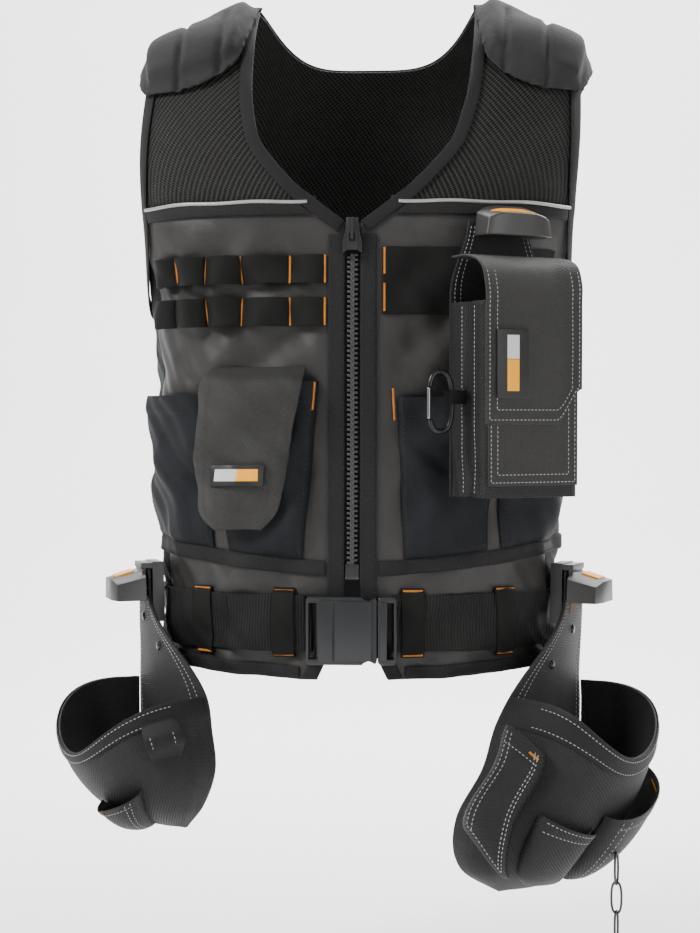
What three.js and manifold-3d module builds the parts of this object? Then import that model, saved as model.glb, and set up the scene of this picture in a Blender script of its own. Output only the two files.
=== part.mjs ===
// A utility work vest with a waist belt, a chest pouch and two hip pouches, as it hangs on the shoulders.
// Millimetres, +Z up. The wearer faces -Y, so left and right are the wearer's own.
// The origin is on the shoulder ridge, midway between the two straps.
import * as THREE from 'three';
import { mergeVertices } from 'three/addons/utils/BufferGeometryUtils.js';
import Module from 'manifold-3d';

const wasm = await Module();
wasm.setup();

// Garment: sizes of the whole
const VEST_DROP = 606;
const CHEST_HALF = 198;
const CHEST_FRONT = 118;
const CHEST_BACK = 120;
const SHOULDER_LEAN = 7;
const NECK_HALF = 100;
const STRAP_END = 192;
const BACK_NECK_DROP = 42;
const CHEST_LINE = 187;
const NECK_DROP = 205;
const ARMHOLE_DEPTH = 83;
const ARMHOLE_FRONT = 50;
const ARMHOLE_BACK = 55;
const HEM_RISE = 8;
const FRONT_PARTING = 24;
const NECK_END_SHARE = 0.31;

// Cloth and trim
const PANEL_WALL = 2;
const TRIM_WALL = 1.2;
const LAYER_GAP = 1.1;
const CLOSE_GAP = 0.7;
const SEAM_GAP = 0.8;
const BINDING_WIDTH = 11;
const ARM_BINDING_WIDTH = 13;
const FACING_WIDTH = 14;
const CHEST_TAPE_WIDTH = 11;
const WAIST_BAND_WIDTH = 13;
const WAIST_BAND_RISE = 18;

// Shoulder pads
const PAD_START = 98;
const PAD_END = 203;
const PAD_REACH = 87;
const PAD_THICKNESS = 12;
const PAD_FLANGE = 3.2;
const PAD_LIFT = 0.8;

// Zip
const ZIP_END = 511;
const ZIP_CHAIN_WIDTH = 9.6;
const ZIP_CHAIN_HEIGHT = 3.2;
const ZIP_TAPE_HALF = 13;
const ZIP_TAPE_WALL = 1;
const ZIP_OPENING = 7;
const SLIDER_LENGTH = 31;
const SLIDER_WIDTH = 17;
const SLIDER_PLATE = 4;
const PULL_LENGTH = 16;
const PULL_WIDTH = 9;
const PULL_WALL = 2;

// Tool webbing on the chest
const TOOL_WEBBING = 25;
const TOOL_ROW_DROP = 234;
const TOOL_ROW_STEP = 37;
const WEBBING_WALL = 1.8;
const GEAR_BAND_WIDTH = 59;
const GEAR_BAND_DROP = 227;
const GEAR_BAND_START = 26;
const GEAR_BAND_END = 190;

// Belt
const BELT_WIDTH = 50;
const BELT_DROP = 556;
const BAND_OVER_BELT = 54;
const WAIST_BAND_DROP = BELT_DROP - BAND_OVER_BELT;
const BELT_WALL = 2.2;
const BELT_LOOP_WIDTH = 20;
const BELT_LOOP_LENGTH = 60;
const BELT_TAIL_LENGTH = 72;
const BUCKLE_LENGTH = 79;
const BUCKLE_HEIGHT = 59;
const BUCKLE_DEPTH = 12;
const BUCKLE_SLOT = 7;
const BUCKLE_RAIL = 5;
const BUCKLE_SAG = 5;

// Chest pouch
const CHEST_POUCH_WIDTH = 98;
const CHEST_POUCH_HEIGHT = 204;
const CHEST_POUCH_DEPTH = 52;
const CHEST_POUCH_YAW = 33;
const CHEST_POUCH_ALONG = 118;
const CHEST_POUCH_DROP = 240;
const FLAP_LENGTH = 142;
const POUCH_WALL = 2;
const BACK_PLATE_WALL = 3;
const CLIP_WIDTH = 68;
const CLIP_HEIGHT = 28;
const CLIP_DEPTH = 24;
const CLIP_SHIFT = 8;
const CHEST_LABEL_WIDTH = 32;
const CHEST_LABEL_HEIGHT = 58;
const CHEST_LABEL_DROP = 62;
const CHEST_LABEL_INSET = 9;
const CHEST_BACK_TOP = 34;
const BAG_TOP_DROP = 38;
const CARABINER_LENGTH = 50;
const CARABINER_WIDTH = 23;
const CARABINER_WIRE = 5;
const GATE_WIRE = 2;

// Hip pouches
const HIP_YAW = 68;
const HIP_PLACE = 0.405;
const HIP_BACK_HALF = 78;
const HIP_TOP = 42;
const HIP_BEND = 240;
const HIP_STANDOFF = 12;
const HIP_CAP_FORWARD = -10;
const HIP_CAP_DEPTH = 31;
const HIP_CAP_FOOT = 14;
const HIP_POCKET_DEPTH = 15;
const HAMMER_LOOP_DEPTH = 17;
const HOOK_WIDTH = 36;
const HOOK_WALL = 6;
const HOOK_FOOT = -6;
const HOOK_GAP = 1.4;
const HIP_BAG_DEPTH = 84;
const HIP_RIM_DROP = 62;
const HIP_RIM_DIP = 50;
const LEFT_HIP_LENGTH = 228;
const RIGHT_HIP_LENGTH = 180;
const HIP_CLIP_WIDTH = 56;
const CHAIN_LINKS = 4;
const CHAIN_LINK_LENGTH = 29;
const CHAIN_LINK_WIDTH = 9;
const CHAIN_WIRE = 2.2;

// Heights at which the layers of cloth lie over the lining
const ON_PANEL = PANEL_WALL + LAYER_GAP;
const ON_TRIM = ON_PANEL + TRIM_WALL + LAYER_GAP;
const ON_BELT = ON_PANEL + BELT_WALL + LAYER_GAP;

// Cross-sections of the torso, from the ridge down. Width, front and back are shares of the chest sizes.
const SECTIONS = [
  { down: 0, width: 0.48, front: 0.01, back: 0.01, square: 2.6 },
  { down: 0.033, width: 0.73, front: 0.356, back: 0.375, square: 2.8 },
  { down: 0.066, width: 0.96, front: 0.508, back: 0.54, square: 3.0 },
  { down: 0.1, width: 1.025, front: 0.61, back: 0.71, square: 3.0 },
  { down: 0.15, width: 1.045, front: 0.746, back: 0.875, square: 3.0 },
  { down: 0.23, width: 1.04, front: 0.89, back: 0.983, square: 3.0 },
  { down: 0.33, width: 1.0, front: 1.0, back: 1.0, square: 2.9 },
  { down: 0.495, width: 0.96, front: 1.05, back: 0.958, square: 2.7 },
  { down: 0.66, width: 0.955, front: 1.068, back: 0.9, square: 2.5 },
  { down: 0.84, width: 0.93, front: 1.1, back: 0.858, square: 2.4 },
  { down: 1, width: 0.92, front: 1.085, back: 0.875, square: 2.4 },
];

// Neck edge of a front yoke: along is the way from the ridge, 0, to the chest line, 1
const NECK_EDGE = [
  { along: 0, half: 1.0 },
  { along: 0.26, half: 0.99 },
  { along: 0.5, half: 0.965 },
  { along: 0.61, half: 0.935 },
  { along: 0.77, half: 0.85 },
  { along: 0.86, half: 0.71 },
  { along: 0.95, half: 0.5 },
  { along: 1, half: NECK_END_SHARE },
];

// Tool loops on the right chest: where each bartack is, as a share of the chest's half width, and how far
// the webbing stands off before it, as a share of its width
const TOOL_TACKS = [
  { along: 0.121, bulge: 0 },
  { along: 0.278, bulge: 0.24 },
  { along: 0.5, bulge: 0.28 },
  { along: 0.667, bulge: 0.44 },
  { along: 0.838, bulge: 0.44 },
  { along: 0.99, bulge: 0.36 },
];

const finishes = {
  coatedCloth: { color: 0x2e2d2c, roughness: 0.75, metalness: 0 },
  sideCloth: { color: 0x16171b, roughness: 0.85, metalness: 0 },
  mesh: { color: 0x1c1c1c, roughness: 0.9, metalness: 0 },
  pad: { color: 0x3a3a3a, roughness: 0.95, metalness: 0 },
  webbing: { color: 0x1a1a1a, roughness: 0.8, metalness: 0 },
  tape: { color: 0x131313, roughness: 0.85, metalness: 0 },
  canvas: { color: 0x3b3b39, roughness: 0.9, metalness: 0 },
  plastic: { color: 0x2a2a2b, roughness: 0.45, metalness: 0 },
  label: { color: 0x111111, roughness: 0.5, metalness: 0 },
  metal: { color: 0x2b2b2e, roughness: 0.3, metalness: 0.9 },
  steel: { color: 0x4a4a4c, roughness: 0.35, metalness: 1 },
};

const vest = new THREE.Group();

function mix(from, to, share) {
  return from + (to - from) * share;
}

function smooth(share) {
  const held = Math.min(1, Math.max(0, share));
  return held * held * (3 - 2 * held);
}

function radians(degrees) {
  return degrees * Math.PI / 180;
}

// Smooth reading of one column of a table, by the values in its first column
function read(table, key, column, value) {
  let row = 0;
  while (row < table.length - 2 && table[row + 1][key] < value) {
    row += 1;
  }
  const low = table[row];
  const high = table[row + 1];
  const before = table[Math.max(0, row - 1)];
  const after = table[Math.min(table.length - 1, row + 2)];
  const span = high[key] - low[key];
  const share = Math.min(1, Math.max(0, (value - low[key]) / span));
  const slopeLow = (high[column] - before[column]) / (high[key] - before[key]) * span;
  const slopeHigh = (after[column] - low[column]) / (after[key] - low[key]) * span;
  const square = share * share;
  const cube = square * share;
  return (2 * cube - 3 * square + 1) * low[column] + (cube - 2 * square + share) * slopeLow
    + (3 * square - 2 * cube) * high[column] + (cube - square) * slopeHigh;
}

// The table is read along the square root of the drop, which rounds the ridge
const ROOTED = SECTIONS.map((row) => ({ ...row, root: Math.sqrt(row.down) }));

function section(z) {
  const root = Math.sqrt(Math.min(1.2, Math.max(0, -z / VEST_DROP)));
  return {
    half: CHEST_HALF * read(ROOTED, 'root', 'width', root),
    front: CHEST_FRONT * read(ROOTED, 'root', 'front', root),
    back: CHEST_BACK * read(ROOTED, 'root', 'back', root),
    square: read(ROOTED, 'root', 'square', root),
  };
}

// Less than 0 inside the torso, 0 on its surface
function depthIn(x, y, z) {
  const level = section(z);
  const reach = y < 0 ? level.front : level.back;
  return Math.abs(x / level.half) ** level.square + Math.abs(y / reach) ** level.square - 1;
}

function outward(point) {
  const step = 0.4;
  const { x, y, z } = point;
  return new THREE.Vector3(
    depthIn(x + step, y, z) - depthIn(x - step, y, z),
    depthIn(x, y + step, z) - depthIn(x, y - step, z),
    depthIn(x, y, z + step) - depthIn(x, y, z - step),
  ).normalize();
}

// The nearest point of the torso's surface
function settled(point) {
  for (let step = 0; step < 6; step++) {
    const out = outward(point);
    const near = point.clone().addScaledVector(out, -0.5);
    const far = point.clone().addScaledVector(out, 0.5);
    const slope = depthIn(far.x, far.y, far.z) - depthIn(near.x, near.y, near.z);
    point.addScaledVector(out, -Math.max(-8, Math.min(8, depthIn(point.x, point.y, point.z) / slope)));
  }
  return point;
}

function lifted(point, out) {
  return point.addScaledVector(outward(point), out);
}

function atAngle(level, angle, z) {
  const across = Math.abs(Math.sin(angle));
  const ahead = Math.abs(Math.cos(angle));
  const reach = Math.cos(angle) > 0 ? level.front : level.back;
  const radius = (across ** level.square + ahead ** level.square) ** (-1 / level.square);
  return new THREE.Vector3(
    level.half * radius * Math.sin(angle), -reach * radius * Math.cos(angle), z);
}

// Lengths along half a cross-section, from the front centre to the back centre
const GIRTH_STEPS = 72;
const girths = new Map();
function girth(z) {
  if (!girths.has(z)) {
    const level = section(z);
    const lengths = [0];
    let last = atAngle(level, 0, z);
    for (let step = 1; step <= GIRTH_STEPS; step++) {
      const next = atAngle(level, Math.PI * step / GIRTH_STEPS, z);
      lengths.push(lengths[step - 1] + next.distanceTo(last));
      last = next;
    }
    girths.set(z, { level, lengths });
  }
  return girths.get(z);
}

function halfGirth(z) {
  return girth(z).lengths[GIRTH_STEPS];
}

// A point on the torso: along the girth in millimetres, positive to the wearer's left
function skin(along, z, out) {
  const { level, lengths } = girth(z);
  const whole = 2 * lengths[GIRTH_STEPS];
  const wrapped = along - whole * Math.round(along / whole);
  const length = Math.abs(wrapped);
  let step = 0;
  while (step < GIRTH_STEPS - 1 && lengths[step + 1] < length) {
    step += 1;
  }
  const part = (length - lengths[step]) / (lengths[step + 1] - lengths[step]);
  const angle = Math.PI * (step + part) / GIRTH_STEPS * Math.sign(wrapped || 1);
  return lifted(atAngle(level, angle, z), out);
}

// The same with the place given as a share: 0 is the front centre, 1 the back centre
function around(share, z, out) {
  return skin(share * halfGirth(z), z, out);
}

function shareAt(y, z) {
  const { level, lengths } = girth(z);
  let step = 0;
  while (step < GIRTH_STEPS && atAngle(level, Math.PI * step / GIRTH_STEPS, z).y < y) {
    step += 1;
  }
  const low = atAngle(level, Math.PI * (step - 1) / GIRTH_STEPS, z).y;
  const high = atAngle(level, Math.PI * step / GIRTH_STEPS, z).y;
  const length = mix(lengths[step - 1], lengths[step], (y - low) / (high - low));
  return length / lengths[GIRTH_STEPS];
}

// A point over the shoulder: along is -1 on the front chest line, 0 on the ridge, 1 on the back chest line
const HEART = -0.7 * CHEST_LINE;
function rowAngle(x, side) {
  const level = section(-CHEST_LINE);
  const wide = Math.min(0.995, Math.abs(x / level.half));
  const reach = side < 0 ? level.front : level.back;
  const y = side * reach * (1 - wide ** level.square) ** (1 / level.square);
  return Math.atan2(y, -CHEST_LINE - HEART);
}

function over(x, along, out) {
  const angle = Math.abs(along) * rowAngle(x, along < 0 ? -1 : 1);
  let near = 0;
  let far = 1.5 * CHEST_HALF;
  for (let step = 0; step < 32; step++) {
    const middle = (near + far) / 2;
    if (depthIn(x, middle * Math.sin(angle), HEART + middle * Math.cos(angle)) < 0) {
      near = middle;
    } else {
      far = middle;
    }
  }
  return lifted(new THREE.Vector3(x, near * Math.sin(angle), HEART + near * Math.cos(angle)), out);
}

// Places on the ways over the shoulder and round the arm
const SIDE_FRONT = shareAt(-ARMHOLE_FRONT, -CHEST_LINE);
const SIDE_BACK = shareAt(ARMHOLE_BACK, -CHEST_LINE);

function armEdge(along) {
  const end = around(along < 0 ? SIDE_FRONT : SIDE_BACK, -CHEST_LINE, 0).x;
  const way = Math.abs(along);
  return mix(STRAP_END, end, way ** 1.5) + 0.02 * STRAP_END * Math.sin(Math.PI * way);
}

function neckEdge(along) {
  return NECK_HALF * read(NECK_EDGE, 'along', 'half', Math.abs(along));
}

function backNeck(x) {
  const way = Math.min(1, Math.abs(x) / NECK_HALF);
  const level = section(-BACK_NECK_DROP);
  const angle = Math.atan2(level.back, -BACK_NECK_DROP - HEART);
  return angle / rowAngle(0, 1) * (1 - way ** 4);
}

function innerEdge(z) {
  const below = Math.max(0, (-z - ZIP_END) / (VEST_DROP - ZIP_END));
  return ZIP_OPENING + FRONT_PARTING * below * below;
}

function hemDrop(share) {
  return VEST_DROP - HEM_RISE * smooth(2 * Math.abs(share));
}

// Closed solids
function finish(geometry) {
  geometry.deleteAttribute('normal');
  geometry.deleteAttribute('uv');
  geometry.clearGroups();
  const merged = mergeVertices(geometry, 1e-4);
  const place = merged.getAttribute('position');
  const order = merged.getIndex().array;
  const [a, b, c] = [new THREE.Vector3(), new THREE.Vector3(), new THREE.Vector3()];
  let volume = 0;
  for (let corner = 0; corner < order.length; corner += 3) {
    a.fromBufferAttribute(place, order[corner]);
    b.fromBufferAttribute(place, order[corner + 1]);
    c.fromBufferAttribute(place, order[corner + 2]);
    volume += a.dot(b.cross(c));
  }
  if (volume < 0) {
    for (let corner = 0; corner < order.length; corner += 3) {
      [order[corner], order[corner + 1]] = [order[corner + 1], order[corner]];
    }
  }
  merged.computeVertexNormals();
  return merged;
}

function shaped(geometry, move) {
  const place = geometry.getAttribute('position');
  for (let index = 0; index < place.count; index++) {
    const point = move(place.getX(index), place.getY(index), place.getZ(index));
    place.setXYZ(index, point.x, point.y, point.z);
  }
  return geometry;
}

// A slab of cloth: a box whose three ways, each from 0 to 1, are bent by a function. Its inner and outer
// faces are split along the same diagonals, so that the two never cross where the cloth twists.
const INNER_FACE = 5;
const QUAD_CORNERS = 6;
function slab(across, up, move, through = 1) {
  const box = new THREE.BoxGeometry(1, 1, 1, across, up, through);
  const order = box.getIndex().array;
  const { start, count } = box.groups[INNER_FACE];
  for (let first = start; first < start + count; first += QUAD_CORNERS) {
    const [a, b, d, , c] = order.slice(first, first + QUAD_CORNERS);
    order.set([a, b, c, a, c, d], first);
  }
  return shaped(box.translate(0.5, 0.5, 0.5), move);
}

// A ribbon that lies on the torso along its stops
function ribbon(stops, from, to, low, high) {
  const last = stops.length - 1;
  return slab(last, 1, (u, v, w) => {
    const index = Math.round(u * last);
    const here = stops[index];
    const before = stops[Math.max(0, index - 1)].point;
    const after = stops[Math.min(last, index + 1)].point;
    const way = after.clone().sub(before).normalize();
    const side = here.out.clone().cross(way).normalize();
    return lifted(settled(here.point.clone().addScaledVector(side, mix(from, to, v))), mix(low, high, w));
  });
}

// A closed ribbon: the last stop joins the first
function band(stops, from, to, low, high) {
  const count = stops.length;
  const ring = new THREE.TorusGeometry(3, 1, 4, count);
  const uv = ring.getAttribute('uv');
  const place = ring.getAttribute('position');
  for (let index = 0; index < place.count; index++) {
    const stop = Math.round(uv.getX(index) * count) % count;
    const corner = Math.round(uv.getY(index) * 4) % 4;
    const here = stops[stop];
    const before = stops[(stop + count - 1) % count].point;
    const after = stops[(stop + 1) % count].point;
    const way = after.clone().sub(before).normalize();
    const side = here.out.clone().cross(way).normalize();
    const sideways = corner === 1 || corner === 2 ? to : from;
    const height = corner === 2 || corner === 3 ? high : low;
    const point = lifted(settled(here.point.clone().addScaledVector(side, sideways)), height);
    place.setXYZ(index, point.x, point.y, point.z);
  }
  return ring;
}

function stopAt(point) {
  return { point, out: outward(point) };
}

// Joining and cutting
function asManifold(geometry) {
  const closed = finish(geometry.clone());
  return new wasm.Manifold(new wasm.Mesh({
    numProp: 3,
    vertProperties: new Float32Array(closed.getAttribute('position').array),
    triVerts: new Uint32Array(closed.getIndex().array),
  }));
}

function asGeometry(manifold) {
  const mesh = manifold.getMesh();
  const geometry = new THREE.BufferGeometry();
  geometry.setAttribute('position', new THREE.BufferAttribute(new Float32Array(mesh.vertProperties), 3));
  geometry.setIndex(new THREE.BufferAttribute(new Uint32Array(mesh.triVerts), 1));
  return geometry;
}

function joined(...geometries) {
  const solids = geometries.map(asManifold);
  return asGeometry(solids.reduce((whole, next) => whole.add(next)));
}

function cut(geometry, ...holes) {
  const solids = holes.map(asManifold);
  return asGeometry(solids.reduce((whole, next) => whole.subtract(next), asManifold(geometry)));
}

// Above the chest line the vest leans a little to the wearer's left
function leaning(x, y, z) {
  return new THREE.Vector3(x + SHOULDER_LEAN * smooth(1 + z / CHEST_LINE), y, z);
}

function add(name, geometry, look, group = vest) {
  if (group === vest) {
    shaped(geometry, leaning);
  }
  const mesh = new THREE.Mesh(finish(geometry), new THREE.MeshStandardMaterial(finishes[look]));
  mesh.name = name;
  group.add(mesh);
  return mesh;
}

function boxAt(x0, x1, y0, y1, z0, z1) {
  return new THREE.BoxGeometry(x1 - x0, y1 - y0, z1 - z0)
    .translate((x0 + x1) / 2, (y0 + y1) / 2, (z0 + z1) / 2);
}

// Torso cloth
const SIDES = [{ word: 'left', side: 1 }, { word: 'right', side: -1 }];

// Between the chest line and the zip's top the neck's edge runs in to the zip
function neckFoot(drop) {
  return mix(NECK_END_SHARE * NECK_HALF, ZIP_OPENING, (drop - CHEST_LINE) / (NECK_DROP - CHEST_LINE));
}

function frontPanel(side) {
  return slab(8, 12, (u, v, w) => {
    const z = -mix(hemDrop(mix(0, SIDE_FRONT, u)), CHEST_LINE + SEAM_GAP / 2, v);
    const near = -z < NECK_DROP ? neckFoot(-z) : innerEdge(z);
    const far = SIDE_FRONT * halfGirth(z) - SEAM_GAP / 2;
    return skin(side * mix(near, far, u), z, w * PANEL_WALL);
  });
}

// The armhole's lower half is an oval over the side panel's top
function armholeDrop(turn) {
  return CHEST_LINE + ARMHOLE_DEPTH * Math.sin(turn);
}

function armholeShare(turn) {
  return mix(SIDE_FRONT, SIDE_BACK, (1 - Math.cos(turn)) / 2);
}

function sidePanel(side) {
  return slab(7, 9, (u, v, w) => {
    const share = armholeShare(Math.PI * u);
    const z = -mix(hemDrop(share), armholeDrop(Math.PI * u) + SEAM_GAP, v);
    const near = SIDE_FRONT * halfGirth(z) + SEAM_GAP / 2;
    const far = SIDE_BACK * halfGirth(z) - SEAM_GAP / 2;
    const way = (share - SIDE_FRONT) / (SIDE_BACK - SIDE_FRONT);
    return skin(side * mix(near, far, way), z, w * PANEL_WALL);
  });
}

function backPanel() {
  return slab(16, 8, (u, v, w) => {
    const z = -mix(hemDrop(1), CHEST_LINE + SEAM_GAP / 2, v);
    const trim = SEAM_GAP / 2 / halfGirth(z);
    return around(mix(SIDE_BACK + trim, 2 - SIDE_BACK - trim, u), z, w * PANEL_WALL);
  });
}

const RIDGE_SEAM = 0.5 * SEAM_GAP / CHEST_LINE;

function frontYoke(side) {
  return slab(6, 10, (u, v, w) => {
    const along = -mix(1 - RIDGE_SEAM, RIDGE_SEAM, v);
    const x = mix(neckEdge(along), armEdge(along), u);
    return over(side * x, along, w * PANEL_WALL);
  });
}

function backYoke() {
  return slab(12, 10, (u, v, w) => {
    const across = 2 * u - 1;
    const top = Math.max(RIDGE_SEAM, backNeck(across * STRAP_END));
    const along = mix(1 - RIDGE_SEAM, top, v);
    return over(across * armEdge(along), along, w * PANEL_WALL);
  });
}

add('back_panel', backPanel(), 'sideCloth');
add('back_yoke', backYoke(), 'mesh');
for (const { word, side } of SIDES) {
  add(`front_panel_${word}`, frontPanel(side), 'coatedCloth');
  add(`side_panel_${word}`, sidePanel(side), 'sideCloth');
  add(`front_yoke_${word}`, frontYoke(side), 'mesh');
}

// Bindings round the neck and the arms
function neckStops() {
  const stops = [];
  const drops = [NECK_DROP, mix(NECK_DROP, CHEST_LINE, 0.5)];
  for (const drop of drops) {
    stops.push(stopAt(skin(neckFoot(drop), -drop, 0)));
  }
  const frontSteps = 10;
  for (let step = 0; step < frontSteps; step++) {
    const along = -1 + step / frontSteps;
    stops.push(stopAt(over(neckEdge(along), along, 0)));
  }
  const backSteps = 10;
  const back = [];
  for (let step = 0; step <= backSteps; step++) {
    const x = NECK_HALF * Math.cos(Math.PI * step / backSteps);
    back.push(stopAt(over(x, backNeck(x), 0)));
  }
  const other = [];
  for (let step = frontSteps - 1; step >= 0; step--) {
    const along = -1 + step / frontSteps;
    other.push(stopAt(over(-neckEdge(along), along, 0)));
  }
  for (const drop of [...drops].reverse()) {
    other.push(stopAt(skin(-neckFoot(drop), -drop, 0)));
  }
  return [...stops, ...back, ...other];
}

add('neck_binding', ribbon(neckStops(), -BINDING_WIDTH, 0, ON_PANEL, ON_PANEL + TRIM_WALL), 'tape');

function armStops(side) {
  const stops = [];
  const upper = 20;
  for (let step = 0; step < upper; step++) {
    const along = mix(-1, 1, step / upper);
    stops.push(stopAt(over(side * armEdge(along), along, 0)));
  }
  const lower = 14;
  for (let step = 0; step < lower; step++) {
    const turn = Math.PI * (1 - step / lower);
    stops.push(stopAt(around(side * armholeShare(turn), -armholeDrop(turn), 0)));
  }
  return stops;
}

for (const { word, side } of SIDES) {
  const inward = side * ARM_BINDING_WIDTH;
  add(`armhole_binding_${word}`, band(armStops(side), 0, inward, ON_PANEL, ON_PANEL + TRIM_WALL), 'tape');
}

// Shoulder pads: quilted in three parts, with a thin flange all round
function padHeight(across, along) {
  const edge = Math.min(1 - Math.abs(across), 1 - Math.abs(along));
  const crown = smooth(edge / 0.3);
  const groove = Math.min(Math.abs(across + 0.42), Math.abs(across - 0.3));
  return mix(PAD_FLANGE, PAD_THICKNESS, crown * mix(0.6, 1, smooth(groove / 0.15)));
}

function shoulderPad(side) {
  return slab(9, 10, (u, v, w) => {
    const p = 2 * u - 1;
    const q = 2 * v - 1;
    const across = p * Math.sqrt(1 - 0.4 * q * q);
    const along = q * Math.sqrt(1 - 0.4 * p * p);
    const x = mix(PAD_START, PAD_END, (across + 1) / 2);
    const reach = PAD_REACH / CHEST_LINE;
    return over(side * x, along * reach, ON_TRIM + PAD_LIFT + w * padHeight(p, q));
  });
}

for (const { word, side } of SIDES) {
  add(`shoulder_pad_${word}`, shoulderPad(side), 'pad');
}

// Front edges and the zip between them
function facing(side) {
  return slab(1, 16, (u, v, w) => {
    const z = -mix(VEST_DROP - 1, NECK_DROP + BINDING_WIDTH, v);
    const near = innerEdge(z);
    return skin(side * mix(near, near + FACING_WIDTH, u), z, ON_PANEL + w * TRIM_WALL);
  });
}

// The zip's chain stands between the panels' edges, and its tape lies behind them
function zipChain() {
  const top = NECK_DROP + SLIDER_LENGTH - 2;
  const chain = slab(1, 7, (u, v, w) => {
    const z = -mix(ZIP_END, top, v);
    const x = mix(-ZIP_CHAIN_WIDTH / 2, ZIP_CHAIN_WIDTH / 2, u);
    return skin(x, z, mix(-ZIP_TAPE_WALL, ZIP_CHAIN_HEIGHT, w));
  });
  const tape = slab(4, 8, (u, v, w) => {
    const z = -mix(ZIP_END + 1, NECK_DROP + 1, v);
    const x = mix(-ZIP_TAPE_HALF, ZIP_TAPE_HALF, u);
    return skin(x, z, -LAYER_GAP - ZIP_TAPE_WALL + w * ZIP_TAPE_WALL * 1.5);
  });
  return joined(chain, tape);
}

// The slider's plate flares at its foot, and a bridge at its head holds the pull
const frontAtNeck = skin(0, -NECK_DROP - SLIDER_LENGTH, 0);
const SLIDER_TOP = -NECK_DROP + 3;
const PULL_AXIS = new THREE.Vector3(
  frontAtNeck.x, frontAtNeck.y - ON_TRIM - SLIDER_PLATE - 2.2, SLIDER_TOP - 0.4 * SLIDER_LENGTH);

function zipSlider() {
  const half = SLIDER_WIDTH / 2;
  const shape = new THREE.Shape();
  shape.moveTo(-0.6 * half, 0);
  shape.lineTo(0.6 * half, 0);
  shape.lineTo(0.72 * half, -0.35 * SLIDER_LENGTH);
  shape.lineTo(half, -0.7 * SLIDER_LENGTH);
  shape.lineTo(half, -SLIDER_LENGTH);
  shape.lineTo(0.25 * half, -0.86 * SLIDER_LENGTH);
  shape.lineTo(-0.25 * half, -0.86 * SLIDER_LENGTH);
  shape.lineTo(-half, -SLIDER_LENGTH);
  shape.lineTo(-half, -0.7 * SLIDER_LENGTH);
  shape.lineTo(-0.72 * half, -0.35 * SLIDER_LENGTH);
  const plate = new THREE.ExtrudeGeometry(shape, { depth: SLIDER_PLATE, bevelEnabled: false });
  plate.rotateX(Math.PI / 2).translate(frontAtNeck.x, frontAtNeck.y - ON_TRIM + 0.6, SLIDER_TOP);
  const face = frontAtNeck.y - ON_TRIM - SLIDER_PLATE;
  const bar = 2.6;
  const railFoot = SLIDER_TOP - 0.62 * SLIDER_LENGTH;
  const rail = boxAt(-bar / 2, bar / 2, face - 5.2, face + 1, railFoot, SLIDER_TOP - 1);
  rail.translate(frontAtNeck.x, 0, 0);
  const eye = boxAt(-bar, bar, face - 3.9, face - 0.2, PULL_AXIS.z - 3, PULL_AXIS.z + 3);
  eye.translate(frontAtNeck.x, 0, 0);
  return cut(joined(plate, rail), eye);
}

// The pull is a plate whose window goes round the bridge, and its head bar lies in the bridge's eye
const PULL_WINDOW = 8.4;
function zipPull() {
  const half = PULL_WIDTH / 2;
  const y = PULL_AXIS.y;
  const x = PULL_AXIS.x;
  const z = PULL_AXIS.z;
  const plate = boxAt(x - half, x + half, y - PULL_WALL / 2, y + PULL_WALL / 2, z - PULL_LENGTH, z + 1);
  const window = boxAt(x - half + 2, x + half - 2, y - PULL_WALL, y + PULL_WALL, z - PULL_WINDOW, z - 1);
  return cut(plate, window);
}

add('zip_chain', zipChain(), 'tape');
add('zip_slider', zipSlider(), 'plastic');
add('zip_pull', zipPull(), 'plastic');

// Tapes across the chest, round the waist and along the hem
const NECK_SIDE = NECK_END_SHARE * NECK_HALF + BINDING_WIDTH;
function chestTape(side) {
  return slab(10, 1, (u, v, w) => {
    const z = -CHEST_LINE - mix(CHEST_TAPE_WIDTH, SEAM_GAP, v) - SEAM_GAP;
    const far = SIDE_FRONT * halfGirth(z) - ARM_BINDING_WIDTH - 2 * SEAM_GAP;
    const near = NECK_SIDE + mix(-6, 6, v);
    return skin(side * mix(near, far, u), z, ON_PANEL + w * TRIM_WALL);
  });
}

function waistDrop(share) {
  return WAIST_BAND_DROP - WAIST_BAND_RISE * smooth(2 * Math.min(Math.abs(share), 2 - Math.abs(share)));
}

function waistBand() {
  const start = (ZIP_OPENING + FACING_WIDTH + 3 * SEAM_GAP) / halfGirth(-WAIST_BAND_DROP);
  return slab(44, 1, (u, v, w) => {
    const share = mix(start, 2 - start, u);
    const z = -waistDrop(share) - mix(WAIST_BAND_WIDTH, 0, v);
    return around(share, z, ON_PANEL + w * TRIM_WALL);
  });
}

function hemBinding() {
  const start = (innerEdge(-VEST_DROP) + FACING_WIDTH + 2 * SEAM_GAP) / halfGirth(-VEST_DROP);
  return slab(44, 1, (u, v, w) => {
    const share = mix(start, 2 - start, u);
    const z = -hemDrop(Math.min(share, 2 - share)) + mix(0, BINDING_WIDTH, v);
    return around(share, z, ON_PANEL + w * TRIM_WALL);
  });
}

for (const { word, side } of SIDES) {
  add(`front_facing_${word}`, facing(side), 'tape');
  add(`chest_tape_${word}`, chestTape(side), 'tape');
}
add('waist_band', waistBand(), 'tape');
add('hem_binding', hemBinding(), 'tape');

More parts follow.
